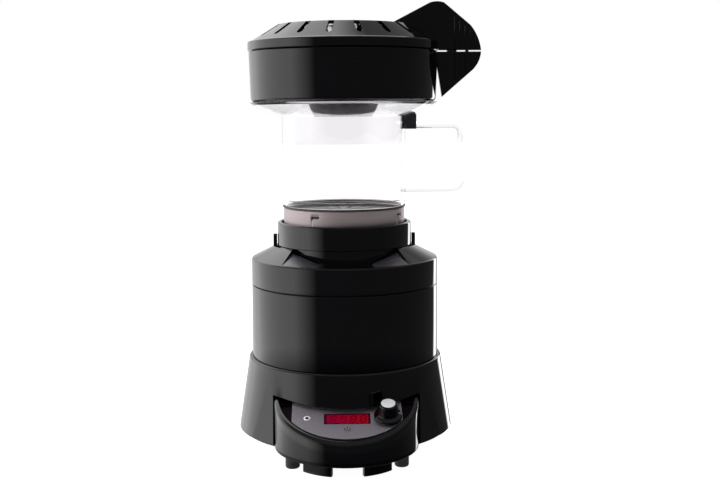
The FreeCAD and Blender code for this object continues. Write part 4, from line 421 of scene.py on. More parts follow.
def window_tint_painted_glow():
    """The display's red filter: deep red behind a polished face, with painted glow: it emits
    light though its digits are unlit, crimson at the left to scarlet at the right, as (x + 15) / 30 in
    millimetres."""
    recipe = Recipe("red_display_filter_painted_glow")
    uneven = recipe.noise(260, 2)
    recipe.link(recipe.blend(recipe.spread(uneven, 0, 1), (0.030, 0.001, 0.004), (0.045, 0.001, 0.006)),
                recipe.shader.inputs["Base Color"])
    split = recipe.node("ShaderNodeSeparateXYZ")
    recipe.link(recipe.place, split.inputs[0])
    across = recipe.spread(split.outputs["X"], 0, 1, -0.015, 0.015)
    recipe.link(recipe.blend(across, colours().painted_glow_left, colours().painted_glow_right),
                recipe.shader.inputs["Emission Color"])
    recipe.set(Roughness=0.12, IOR=1.4)
    recipe.link(recipe.spread(uneven, 0.92, 1.06), recipe.shader.inputs["Emission Strength"])
    recipe.bump(recipe.noise(900, 2), 0.05, 0.00002)
    return recipe.material


def colours():
    return bpy.context.scene.roaster_finishes


FINISHES = {
    "polished shell": lambda: plastic("polished_black_shell", colours().shell, colours().shell_gloss, 220,
                                      0.015),
    # painted light: black plastic with its colour lifted some forty times over the shell's, so the ramps read
    # grey as if lit
    "satin shell painted light": lambda: plastic("satin_black_shell_painted_light", (0.030, 0.027, 0.035), 0.22, 600, 0.03),
    "grained shell": lambda: plastic("grained_black_plastic", colours().inner, 0.46, 2600, 0.06),
    "white plastic": lambda: plastic("white_impeller_plastic", (0.62, 0.62, 0.60), 0.42, 2000, 0.05),
    "panel lacquer": lambda: metal("satin_panel_lacquer", colours().panel, 0.36, (900, 900, 900), 0.06, 0.55),
    "cap metal": lambda: metal("spun_knob_cap", (0.86, 0.85, 0.87), 0.34, (60, 2500, 2500), 0.10, 0.35),
    "collar steel": lambda: metal("brushed_collar_steel", colours().collar, 0.42, (25, 25, 3200), 0.20, 0.5),
    # painted shade: near-black steel for the collar's inner side and the plate seat, dark as the shade behind
    # the slots
    "painted shade steel": lambda: metal("painted_shade_steel", (0.035, 0.030, 0.028), 0.5, (300, 300, 300), 0.12, 0.6),
    "air plate steel": lambda: metal("stamped_air_plate", (0.30, 0.285, 0.295), 0.38, (700, 700, 60), 0.12),
    "plain steel": lambda: metal("plain_steel", (0.52, 0.52, 0.53), 0.34, (400, 400, 400), 0.12),
    "bush bronze": lambda: metal("sintered_bush", (0.60, 0.42, 0.20), 0.42, (900, 900, 900), 0.25),
    "winding wire": lambda: metal("winding_wire", (0.55, 0.22, 0.08), 0.30, (60, 60, 1800), 0.5),
    "ferrite": lambda: plastic("ferrite", (0.09, 0.09, 0.10), 0.55, 1800, 0.05),
    "rubber": lambda: plastic("foot_rubber", (0.022, 0.021, 0.022), 0.62, 3200, 0.06),
    "seal": lambda: plastic("silicone_seal", (0.026, 0.024, 0.026), 0.52, 2200, 0.05),
    "mica": lambda: plastic("pressed_mica", (0.46, 0.39, 0.28), 0.48, 800, 0.10),
    "circuit board": lambda: plastic("circuit_board", (0.015, 0.13, 0.045), 0.36, 1200, 0.05),
    # painted glow of the display's red filter
    "display tint painted glow": window_tint_painted_glow,
    "display frame": lambda: plastic("display_frame", (0.030, 0.001, 0.010), 0.3, 1500, ior=1.25),
    "dark segment": lambda: plastic("dark_segment", (0.030, 0.0, 0.003), 0.4, 1500, ior=1.2),
    "faint segment": lambda: plastic("faint_segment", (0.140, 0.0, 0.014), 0.4, 1500, ior=1.2),
    "printed mark": lambda: plastic("printed_mark", (0.018, 0.017, 0.022), 0.5, 2400, 0.05, 1.3),
    "lamp lens": lambda: plastic("lamp_lens", (0.020, 0.018, 0.022), 0.15, 1500),
    "dark recess": lambda: plastic("shaded_recess", (0.0035, 0.0010, 0.0040), 0.55, 1800, 0.05, 1.2),
    "clip plastic": lambda: plastic("clip_plastic", (0.012, 0.011, 0.017), 0.34, 900, 0.04),
    "chamber glass": lambda: clear_glass("chamber_glass_clear", colours().glass),
}
MADE = {}


def material(finish):
    """A finish's material, made the first time it is asked for."""
    if finish not in MADE:
        MADE[finish] = FINISHES[finish]()
    return MADE[finish]



# -------------------------------------------------------------------------- base
def upright(angle_from_front):
    """(x, y) on the unit circle, for an angle in radians from the front towards +X."""
    return np.stack([np.sin(angle_from_front), -np.cos(angle_from_front)], -1)


class ROASTER_OT_skirt(Operator):
    """Flared lower shell with its visor over the nose"""

    bl_idname = "roaster.skirt"
    bl_label = "Skirt"

    def execute(self, context):
        """Two sheets meet at the visor's ends: the lower one holds the legs and the back,
        the upper one goes all round and its lower edge is the visor's arc."""
        steps = context.scene.roaster_sizes.steps
        low, high = corners("base_skirt")
        foot, lip = low[2], high[2]
        lip_radius, housing_radius, rounding = 68.1, 66.05, 1.7
        gap, visor_foot, visor_rise = 49.5, 39.3, 5.0
        visor_top = visor_foot + visor_rise

        def half_axes(z):
            """They run straight from the foot to the lip: a0 + (a1 - a0) t."""
            t = np.clip((z - foot) / (lip - foot), 0, 1)
            return high[0] + (lip_radius - high[0]) * t, high[1] + (lip_radius - high[1]) * t

        def front(x, z):
            """The visor stands upright, y = -sqrt(r^2 - x^2), and passes over into the
            flare -b sqrt(1 - (x / a)^2) beside each leg, by a smooth step of |x|."""
            a, b = half_axes(z)
            step = np.clip((np.abs(x) - 41.5) / 8.0, 0, 1)
            step = step**2 * (3 - 2 * step)
            y = np.sqrt(lip_radius**2 - x**2) * (1 - step) + b * np.sqrt(1 - (x / a)**2) * step
            return np.stack([np.broadcast_to(x, y.shape), -y, np.broadcast_to(z, y.shape)], -1)

        def around(z):
            """From leg to leg: a flat facet (a chord of the ellipse that fades out above
            the visor's ends), the ellipse (a sin u, -b cos u), and the other facet."""
            a, b = half_axes(z)
            crease = 54.0 + (48.7 - z) * 0.278
            k = np.linspace(0, 1, 9)[None, :]
            x = gap + (crease - gap) * k
            ends = [b * np.sqrt(1 - (edge / a)**2) for edge in (gap, crease)]
            curved = b * np.sqrt(1 - (x / a)**2)
            flat = np.clip((48.7 - z) / 4.4, 0, 1)
            y = curved + (ends[0] + (ends[1] - ends[0]) * k - curved) * flat
            facet = np.stack([x, -y, np.broadcast_to(z, y.shape)], -1)
            first = np.arcsin(crease / a)
            u = first + (2 * math.pi - 2 * first) * np.linspace(0, 1, steps)[None, 1:-1]
            back = np.stack([a * np.sin(u), -b * np.cos(u), np.broadcast_to(z, u.shape)], -1)
            return np.concatenate([facet, back, (facet * (-1, 1, 1))[:, ::-1]], 1)

        sag = (gap**2 + visor_rise**2) / (2 * visor_rise)
        x = np.linspace(-gap, gap, 151)[None, :]
        arch = visor_foot + sag - np.sqrt(sag**2 - x**2)
        up = np.linspace(0, 1, 12)[:, None]
        sides = around(visor_top + (lip - rounding - visor_top) * up)[:, 1:-1]
        wall = np.concatenate([front(x, arch + (lip - rounding - arch) * up), sides], 1)
        # the lip rolls inwards to the housing: r - e (1 - cos t), z + e sin t
        t = np.radians(np.linspace(0, 90, 8))[1:, None]
        radius = np.hypot(wall[-1, :, 0], wall[-1, :, 1])
        rolled = np.concatenate([radius - rounding * (1 - np.cos(t)),
                                 np.full((1, len(radius)), housing_radius)])
        level = np.append(lip - rounding * (1 - np.sin(t)), lip)[:, None, None]
        roll = wall[-1:, :, :2] * (rolled / radius)[:, :, None]
        roll = np.concatenate([roll, np.broadcast_to(level, (*rolled.shape, 1))], -1)
        upper = sheet(np.concatenate([wall, roll]), wrap_columns=True)
        lower = sheet(around(np.linspace(foot, visor_top, 14)[:, None]))
        piece("skirt_shell", joined(upper, lower), "base", "polished shell", ("base_skirt",),
              wall=2.4, edge=1.1)
        bearing = [(61.2, lip - 2.5), (65.6, lip - 2.5), (65.95, lip - 0.05), (61.2, lip - 0.05)]
        piece("skirt_bearing", lathe(bearing, steps), "base", "polished shell")
        return {"FINISHED"}


def nose_rim(y):
    """Height of the nose's rim, which rises from its front end: z0 + tan(slope) (y0 + y)."""
    return NOSE_TIP_HEIGHT + math.tan(SLOPE) * (NOSE_TIP + y)


class ROASTER_OT_nose(Operator):
    """Round nose wall with its sloping rim, and the deck under the panel"""

    bl_idname = "roaster.nose"
    bl_label = "Nose"

    def execute(self, context):
        """The wall follows the arc (R sin t, y0 - R cos t). Its section is a closed loop of
        (inset, height above the foot or below the rim)."""
        radius, wall, foot = 48.5, 3.4, 9.5
        t = np.radians(np.linspace(-91.2, 91.2, 145))
        top = rounded([(0.0, -8.0), (0.0, 0.0, 3.0), (wall, 0.0, 0.35), (wall + 0.3, -9.0)], 7)
        bottom = rounded([(wall + 0.3, 2.5), (wall + 0.3, 0.0, 0.4), (0.0, 0.0, 0.9), (0.0, 3.0)], 4)
        insets = np.concatenate([top[:, 0], bottom[:, 0]])
        from_rim = np.concatenate([np.ones(len(top)), np.zeros(len(bottom))])
        offset = np.concatenate([top[:, 1], bottom[:, 1]])
        reach = radius - insets[None, :]
        x, y = reach * np.sin(t)[:, None], NOSE_Y - reach * np.cos(t)[:, None]
        rim = nose_rim(y)
        z = np.where(from_rim[None, :] > 0, rim, foot) + offset
        shape = capped(sheet(np.stack([x, y, z], -1), wrap_columns=True), len(insets))
        piece("nose_wall", shape, "base", "polished shell", ("front_bumper",), sharp=50)
        # deck: ring between the wall and the opening, and the strip behind it
        s = np.radians(np.linspace(-79, 79, 81))
        inner = np.minimum(42.2, 33 / np.maximum(np.abs(np.sin(s)), 1e-6))
        outer = np.full(len(s), radius - wall + 0.2)
        ring_points = []
        for reach, drop in ((outer, 0.0), (inner, 0.0), (inner, 2.0), (outer, 2.0)):
            px, py = reach * np.sin(s), NOSE_Y - reach * np.cos(s)
            pz = nose_rim(py) - 2.4 / math.cos(SLOPE) - drop
            ring_points.append(np.stack([px, py, pz], -1))
        loop = np.stack(ring_points, 1)
        ring_sheet = capped(sheet(loop, wrap_columns=True), len(ring_points))
        strip = slab(box_outline(-44.6, 44.6, -6.9, -1.1), -4.2, -2.05, 0.1)
        piece("nose_deck", joined(ring_sheet, placed(strip, panel_frame())), "base",
              "dark recess")
        return {"FINISHED"}


def panel_frame():
    """The control panel's own frame: x across, y up the slope, z out of its face."""
    rise = nose_rim(NOSE_Y) - 0.4 / math.cos(SLOPE)
    along = [0, math.cos(SLOPE), math.sin(SLOPE)]
    out = [0, -math.sin(SLOPE), math.cos(SLOPE)]
    return np.array([0, NOSE_Y, rise]), np.array([[1.0, 0, 0], along, out])


def ramps(rim):
    """The ramps between the wings, as one ring. Its top is the lower of a cone, which falls
    from 137.5 at the neck to the rim, and of a slope rim + tan(18) (|x| - 18); the two blend
    as -k log(exp(-cone / k) + exp(-slope / k)). Where that is under the rim it stays hidden."""
    turn = np.linspace(0, 2 * math.pi, 480, endpoint=False)[:, None]
    inner, outer, width, height, sink = 47.6, 65.2, 17.6, 6.0, 0.3
    radius = np.linspace(outer, inner, 28)[None, :]
    cone = height * (outer - radius) / width - sink * (radius - inner) / width
    slope = math.tan(math.radians(18)) * (np.abs(radius * np.cos(turn)) - 18)
    blend = 0.25
    top = rim + np.maximum(-0.4, -blend * np.logaddexp(-cone / blend, -slope / blend))
    loop = np.concatenate([[inner, outer], radius[0]])
    low = np.full((len(turn), 2), rim - 1.2)
    points = np.stack([loop * np.cos(turn), loop * np.sin(turn), np.concatenate([low, top], 1)], -1)
    return sheet(points, wrap_rows=True, wrap_columns=True)


class ROASTER_OT_housings(Operator):
    """Main housing, and the cap with its two shoulder wings and neck stops"""

    bl_idname = "roaster.housings"
    bl_label = "Housings"

    def execute(self, context):
        """Both are turned profiles. A wing is a wedge's profile turned about the axis, each
        of its points (r, z) from one of the wing's ends to the other: the ends lie in the
        planes x = e + |y| tan(s), so the turn runs to arccos(e cos(s) / r) - s each way."""
        steps = context.scene.roaster_sizes.steps
        low, high = corners("main_housing")
        tube_profile = rounded([(63.6, low[2]), (66, low[2], 0.3), (66, high[2], 0.5), (63.6, high[2], 0.3)])
        ledge = [(60.5, 105.5), (63.7, 105.5), (63.7, 108), (60.5, 108)]
        piece("housing_tube", joined(lathe(tube_profile, steps), lathe(ledge, steps)), "base",
              "polished shell", ("main_housing",))
        seam = high[2] + 0.5
        rim = 131.5
        cap = rounded([(46.25, rim - 2.4), (63.7, rim - 2.4, 0.6), (63.7, seam + 4.4), (61.2, seam + 2.2),
                       (61.2, seam - 5), (63.4, seam - 5), (63.4, seam), (66.1, seam, 0.5), (66.1, rim, 1.6),
                       (46.25, rim)])
        # the ramps' lifted grey is painted light on the cap's black plastic
        piece("shoulder_ramps", ramps(rim), "base", "satin shell painted light", sharp=50)
        wedge = np.array([(47.6, rim - 1.2), (65.2, rim - 1.2), (65.2, rim - 0.25), (56.4, rim + 4.1),
                          (47.6, 140.0)])
        end_x, slant = 23.3, math.radians(21.5)
        turns = np.linspace(-1, 1, 81)[:, None] * (np.arccos(end_x * math.cos(slant) / wedge[:, 0]) - slant)
        heights = np.broadcast_to(wedge[:, 1], turns.shape)
        wings = []
        for side in (1, -1):
            points = np.stack([side * wedge[:, 0] * np.cos(turns), wedge[:, 0] * np.sin(turns), heights], -1)
            wings.append(capped(sheet(points, wrap_columns=True), len(wedge)))
        stops = [slab(box_outline(side * 49.3 - 1.35, side * 49.3 + 1.35, -1.6, 1.6, 0.5), rim - 1, 147.3,
                      0.5)
                 for side in (-1, 1)]
        bosses = []
        for turn in (90, 210, 330):
            centre = 57 * np.array([math.cos(math.radians(turn)), math.sin(math.radians(turn))])
            ring = np.array([[3.6, seam - 5], [3.6, rim - 2.3], [1.4, rim - 2.3], [1.4, seam - 5]])
            points, faces = lathe(ring, 24)
            bosses.append((points + np.array([*centre, 0]), faces))
        piece("housing_cap", joined(lathe(cap, steps), *bosses), "base", "polished shell",
              ("top_housing",))
        for index, wing in enumerate(wings):
            piece(f"shoulder_wing_{index}", wing, "base", "polished shell", sharp=30,
                  edge=0.55)
        piece("neck_stops", joined(*stops), "base", "polished shell")
        return {"FINISHED"}


class ROASTER_OT_neck(Operator):
    """Neck band, the wall under it and its ledge"""

    bl_idname = "roaster.neck"
    bl_label = "Neck"

    def execute(self, context):
        """One turned profile."""
        profile = rounded([(35, 130.5), (44.8, 130.5), (44.8, 126.6), (50, 126.6), (50, 129.1), (46.2, 129.1),
                           (46.2, 140), (47.5, 140, 0.5), (47.5, 156.3, 1.2), (44.8, 156.3, 0.7), (44.8, 133),
                           (35, 133)])
        piece("neck_band", lathe(profile, context.scene.roaster_sizes.steps), "base",
              "polished shell", ("neck_ring",))
        return {"FINISHED"}


class ROASTER_OT_underside(Operator):
    """Pan with its guards, and the rubber feet"""

    bl_idname = "roaster.underside"
    bl_label = "Pan and feet"

    def execute(self, context):
        """The pan keeps its solid's shape; each foot is a turned profile."""
        copied("bottom_pan", "base", "polished shell", edge=0.35)
        feet = []
        profile = rounded([(0, 0), (4.8, 0, 1.4), (4.8, 9.5), (0, 9.5)])
        for x, y in ((36, -65), (-36, -65), (46, 42), (-46, 42)):
            points, faces = lathe(profile, 40, closed=False)
            feet.append((points + np.array([x, y, 0]), faces))
        piece("foot_pads", joined(*feet), "base", "rubber", ("rubber_feet",))
        return {"FINISHED"}


# ------------------------------------------------------------------------ controls
def disc(x, y, radius, low, high, edge=0.15, steps=40):
    """A round button in the panel's frame."""
    angles = np.linspace(0, 2 * math.pi, steps, endpoint=False)
    outline = np.stack([x + radius * np.cos(angles), y + radius * np.sin(angles)], -1)
    return slab(outline, low, high, edge)


class ROASTER_OT_panel(Operator):
    """Control panel with its lamp lens and the printed mark on the power key"""

    bl_idname = "roaster.panel"
    bl_label = "Control panel"

    def execute(self, context):
        """The panel keeps its solid's holes and gets rounded edges. The power mark is a
        ring open at the top, r between 1.55 and 2.1, with a bar from its middle up."""
        copied("control_panel", "base", "panel lacquer", edge=0.3)
        where = panel_frame()
        lens = disc(-26.2, -24.2, 1.25, -2.0, 0.12, 0.3)
        piece("lamp_lens", placed(lens, where), "base", "lamp lens", ("indicator_lens",))
        bezel = lathe(rounded([(1.3, -0.1), (2.3, -0.1), (2.3, 0.18, 0.15), (1.5, 0.3, 0.1), (1.3, 0.1)], 3),
                      64)
        centred = (where[0] + np.array([-26.2, -24.2, 0]) @ where[1], where[1])
        piece("lamp_bezel", placed(bezel, centred), "base", "cap metal")
        key = disc(0, -36.1, 3.1, -3.0, 0.12, 0.05)
        flange = disc(0, -36.1, 3.98, -3.0, -2.02, 0.1)
        stem = disc(0, -36.1, 1.2, -3.85, -2.9, 0.1)
        piece("power_key_cap", placed(joined(key, flange, stem), where), "power_key",
              "panel lacquer", ("power_key",))
        angles = np.radians(np.linspace(55, 360 - 55, 41)) + math.pi / 2
        circle = np.stack([np.cos(angles), np.sin(angles)], -1)
        mark = np.concatenate([2.10 * circle, 1.55 * circle[::-1]]) + (0, -36.3)
        bar = box_outline(-0.27, 0.27, -36.35, -33.9)
        shape = joined(slab(mark, 0.05, 0.15, 0.01, 1), slab(bar, 0.05, 0.15, 0.01, 1))
        piece("power_mark", placed(shape, where), "power_key", "printed mark")
        return {"FINISHED"}


# The bars of a digit: their place in half cells across and up, and 1 for a level bar.
BARS = ((0, 1, 1), (1, 0.5, 0), (1, -0.5, 0), (0, -1, 1), (-1, -0.5, 0), (-1, 0.5, 0), (0, 0, 1))


def segment_bars(count, height, pitch, centre):
    """Unlit seven-segment digits: each bar is a thin lozenge along one side of a cell,
    leant over by a tenth of its height."""
    width = height * 0.52
    bars = []
    for index in range(count):
        middle = centre[0] + (index - (count - 1) / 2) * pitch
        for x, y, level in BARS:
            half = np.array([width / 2 - 0.55, 0.42] if level else [0.42, height / 4 - 0.5])
            outline = box_outline(-half[0], half[0], -half[1], half[1], 0.38)
            outline = outline + (x * width / 2, y * height / 2)
            outline[:, 0] += outline[:, 1] * 0.10 + middle
            outline[:, 1] += centre[1]
            bars.append(slab(outline, -0.27, -0.21, 0.01, 1))
    return joined(*bars)


class ROASTER_OT_display(Operator):
    """Red display window with its dark frame and unlit digits"""

    bl_idname = "roaster.display"
    bl_label = "Display"

    def execute(self, context):
        """The window is a plate just under the panel's face, with a dark frame round it
        and the digits' bars on it."""
        sizes = context.scene.roaster_sizes
        where = panel_frame()
        half_x, half_y, middle = 15.1, 5.55, -25.3
        pane = slab(box_outline(-half_x, half_x, middle - half_y, middle + half_y, 0.3), -2.0, -0.25, 0.1)
        # the pane's red glow is painted light: it emits though the digits on it are unlit
        piece("display_pane", placed(pane, where), "base", "display tint painted glow", ("display_window",))
        outer = box_outline(-half_x, half_x, middle - half_y, middle + half_y, 0.3)
        inner = box_outline(-half_x + 1.5, half_x - 1.3, middle - half_y + 1.0, middle + half_y - 1.1, 0.3)
        levels = np.array([[0.02], [0.02], [-0.26], [-0.26]])
        loops = [outer, inner, inner, outer]
        ring = np.stack([np.column_stack([loop, np.full(len(loop), level[0])]) for loop,
                         level in zip(loops, levels)])
        border = sheet(ring.transpose(1, 0, 2), wrap_rows=True, wrap_columns=True)
        piece("display_border", placed(border, where), "base", "display frame")
        for name, centre, finish in (("left", -5.75, "faint segment"), ("right", 7.25, "dark segment")):
            digits = segment_bars(2, sizes.digit_height / MM * 0.86, 6.5, (centre, middle))
            piece(f"display_digits_{name}", placed(digits, where), "base", finish)
        return {"FINISHED"}


class ROASTER_OT_knob(Operator):
    """Knob with its satin cap"""

    bl_idname = "roaster.knob"
    bl_label = "Knob"

    def execute(self, context):
        """A turned profile on the knob's own axis in the panel's frame."""
        profile = rounded([(4.4, 1.2), (9.2, 1.2, 0.5), (9.2, 3.0, 0.9), (6.9, 4.4, 1.0), (6.15, 11.8, 0.9),
                           (4.72, 11.8), (4.72, 10.8), (0.0, 10.8), (0.0, 10.2), (1.55, 10.2), (1.55, 5.2),
                           (4.4, 5.2)], 5)
        origin, axes = panel_frame()
        centre = origin + np.array([26.6, -25.65, 0]) @ axes
        shape = lathe(profile, 96, closed=False)
        piece("knob_body", placed(shape, (centre, axes)), "knob", "polished shell", ("knob",))
        cap = rounded([(0, 12.25), (3.2, 12.22), (4.68, 12.1, 0.25), (4.68, 10.82), (0, 10.82)], 4)
        piece("knob_disc", placed(lathe(cap, 72, closed=False), (centre, axes)), "knob",
              "cap metal",
              ("knob_cap",))
        return {"FINISHED"}


# ------------------------------------------------------------------------- chamber
class ROASTER_OT_collar(Operator):
    """Steel collar of the chamber, with its tool slots"""

    bl_idname = "roaster.collar"
    bl_label = "Collar"

    def execute(self, context):
        """A sheet profile turned about Z, with the quads inside each slot left out: a slot
        spans 8.6 degrees and its toe the first 1.8 of them, a little lower."""
        top, sill, toe = 162.8, 161.5, 160.2
        foot_edge = rounded([(39.4, 134.5), (43, 134.5, 1.0), (43, 150)], 6)
        top_edge = rounded([(43, 150), (43, 166.8, 1.3), (39.6, 166.8)], 6)
        levels = [(43, toe), (43, sill), (43, top)]
        profile = np.concatenate([foot_edge, levels, top_edge[1:]])
        count = 432
        angles = np.degrees(np.arange(count) * 2 * math.pi / count)
        middle_z = (profile[1:, 1] + profile[:-1, 1]) / 2
        keep = np.ones((count, len(profile) - 1), bool)
        for centre in (61.5, 151.5, 241.5, 331.5):
            from_left = (angles + 0.4 - (centre - 4.3)) % 360
            keep &= ~((from_left < 8.6)[:, None] & (middle_z > sill) & (middle_z < top))
            keep &= ~((from_left < 1.8)[:, None] & (middle_z > toe) & (middle_z < sill))
        a = np.radians(angles)
        points = np.stack([np.outer(np.cos(a), profile[:, 0]), np.outer(np.sin(a), profile[:, 0]),
                           np.broadcast_to(profile[:, 1], (count, len(profile)))], -1)
        shape = sheet(points, wrap_rows=True, keep=keep)
        # the collar's inner side and the plate seat are near-black steel: painted shade seen through the
        # slots
        piece("collar_sheet", shape, "chamber", "collar steel", ("collar_ring",), wall=1.0,
              lining="painted shade steel")
        seat = [(40.6, 161.8), (42.05, 161.8), (42.05, 162.8), (40.6, 162.8)]
        piece("plate_seat", lathe(seat, 180), "chamber", "painted shade steel")
        return {"FINISHED"}


class ROASTER_OT_glass(Operator):
    """Glass chamber with its flare, and its rod handle"""

    bl_idname = "roaster.glass"
    bl_label = "Glass"

    def execute(self, context):
        """The tube and its flare are one turned profile, the flare an arc of radius 72.7
        outside and 70.3 inside. The rod is a circle carried round a path with bent
        corners, and its two ends follow the tube: x = sqrt(43.9^2 - y^2)."""
        steps = context.scene.roaster_sizes.steps
        foot, rim = 167.8, 240.9
        waist = 230.7
        outer = arc((43.9, waist), (66.9, rim - 0.15), 72.7, 1, 20)
        inner = arc((63.6, rim - 0.1), (41.5, waist + 0.9), 70.3, -1, 20)
        profile = rounded([(40.7, foot + 0.05), (43.1, foot, 0.6), (43.9, foot + 4.2, 3.0), *outer,
                           (66.2, rim),
                           (64.4, rim), *inner, (41.5, foot + 4.6, 2.0), (40.9, foot + 0.5)], 4)
        glass = piece("glass_chamber", lathe(profile, steps), "chamber", "chamber glass",
                      ("chamber_glass",),
                      sharp=60)
        high, low, reach, bend = 224.5, 178.8, 84.0, 6.0
        corner = rounded([(43.2, high), (reach, high, bend), (reach, low, bend), (43.2, low)], 12)
        path = [corner[:1]]
        for start, end in zip(corner[:-1], corner[1:]):
            count = max(1, int(np.linalg.norm(end - start) / 3))
            path.append(start + (end - start) * np.linspace(0, 1, count + 1)[1:, None])
        rod = tube(np.concatenate(path), 2.5)
        for end in (0, -1):
            rod[end, :, 0] = np.sqrt(43.9**2 - rod[end, :, 1]**2) + 0.05
        shape = capped(sheet(rod, wrap_columns=True), rod.shape[1])
        handle = piece("glass_rod", shape, "chamber", "chamber glass", ("glass_handle",), sharp=60)
        for thing in (glass, handle):
            thing.visible_shadow = False
        copied("handle_clip", "chamber", "clip plastic", edge=0.5)
        return {"FINISHED"}


# ----------------------------------------------------------------------- collector
class ROASTER_OT_collector(Operator):
    """Collector bowl and its inlet nozzle"""

    bl_idname = "roaster.collector"
    bl_label = "Collector"

    def execute(self, context):
        """Two turned profiles."""
        steps = context.scene.roaster_sizes.steps
        foot, top = 240.9, 276.3
        bowl = rounded([(25.2, foot), (65.6, foot, 3.0), (66.9, top, 0.6), (64.5, top, 0.2),
                        (64.5, top + 2.2, 0.3),
                        (62.1, top + 2.2, 0.3), (62.1, top - 2.4), (64.5, top - 4.8), (63.2, foot + 2.4),
                        (25.2, foot + 2.4)])
        piece("collector_bowl", lathe(bowl, steps), "collector", "polished shell",
              ("collector_body",))
        funnel = rounded([(19.1, 230.9), (20.7, 230.9, 0.4), (25, 240.6, 0.8), (25, 243.3), (28, 243.3),
                          (28, 244.9),
                          (19.6, 244.9), (18, 248.1), (18, 264.3, 0.4), (16.4, 264.3, 0.4), (16.4, 248.1, 3),
                          (19.1, 240.9, 3)])
        piece("inlet_funnel", lathe(funnel, 144), "collector", "dark recess",
              ("inlet_nozzle",))
        return {"FINISHED"}


class ROASTER_OT_lid(Operator):
    """Vented lid"""

    bl_idname = "roaster.lid"
    bl_label = "Lid"

    def execute(self, context):
        """The lid's outer profile is turned in one sector for each slot. Across a sector the
        columns follow the slot's edge, at the angle w(r) / r from its middle, where w is half
        the slot's width and runs down to nothing round its outer end: sqrt(h^2 - (r - r1)^2).
        The quads between the two edges are left out, and a wall is grown inwards."""
        sizes = context.scene.roaster_sizes
        half = sizes.slot_width / MM / 2
        foot = corners("lid")[0][2]
        shoulder = foot + 6.4
        top = shoulder + 11.9
        slot_in, slot_out = 46.6, 60.5
        bevel = rounded([(67.6, foot + 0.01, 0.3), (67.6, shoulder - 0.1, 0.9), (65.0, shoulder + 0.5, 0.8),
                         (46.9, top, 1.4), (30, top)], 5)[5:]
        radii = np.concatenate([slot_out - half + half * np.sin(np.radians(np.linspace(90, 0, 9))),
                                np.linspace(slot_out - half, 50, 6)[1:], [slot_in]])
        order = np.argsort(-bevel[:, 0])
        heights = np.interp(radii, bevel[order][::-1, 0], bevel[order][::-1, 1])
        outside = bevel[bevel[:, 0] > slot_out + 0.05]
        inside = bevel[(bevel[:, 0] < 50) & (bevel[:, 0] > 30)]
        between = np.column_stack([radii[:-1], heights[:-1]])
        inner_r = np.concatenate([inside[inside[:, 0] > slot_in + 0.02, 0], [slot_in],
                                  inside[inside[:, 0] < slot_in - 0.02, 0]])
        inner_z = np.interp(inner_r, bevel[order][::-1, 0], bevel[order][::-1, 1])
        profile = np.concatenate([[(67.3, foot)], outside, between[between[:, 0] > inner_r[0] + 0.05],
                                  np.column_stack([inner_r, inner_z]), [(30, top)], [(12, top)], [(0, top)]])
        r, z = profile.T
        count = sizes.lid_slots
        sector = 2 * math.pi / count
        width = np.where(r < slot_out - half, half,
                         np.sqrt(np.maximum(half**2 - (r - slot_out + half)**2, 0)))
        width = np.where((r <= slot_out + 1e-6) & (r >= slot_in - 1e-6), width, half * 0.8)
        edge = np.arcsin(np.clip(width / np.maximum(r, 20), 0, 1))
        outward = np.linspace(0, 1, 8)[:, None]
        left = -sector / 2 + (sector / 2 - edge)[None] * outward
        right = edge[None] + (sector / 2 - edge)[None] * outward
        columns = np.concatenate([left, right], 0)
        turns = np.arange(count) * sector
        angles = (turns[:, None, None] + columns[None]).reshape(-1, len(r))
        points = np.stack([np.cos(angles) * r, np.sin(angles) * r, np.broadcast_to(z, angles.shape)], -1)
        keep = np.ones((len(angles), len(r) - 1), bool)
        middle = (r[1:] + r[:-1]) / 2
        open_rows = (middle < slot_out) & (middle > slot_in)
        keep[7::16] = ~open_rows
        shape = sheet(points, wrap_rows=True, keep=keep)
        piece("lid_shell", shape, "lid", "polished shell", ("lid",), sharp=30,
              wall=sizes.wall / MM, edge=0.35)
        return {"FINISHED"}


def grip_shape(outline, ribs):
    """A plate between y = -3 and 3 with rounded edges, and upright ribs that stand 0.5
    proud of it."""
    parts = [slab(outline, -3.0, 3.0, 0.7)]
    for left, low, high in ribs:
        parts.append(slab(box_outline(left, left + 1.2, low, high, 0.5), -3.5, 3.5, 0.4, 3))
    return placed(joined(*parts), SIDEWAYS)


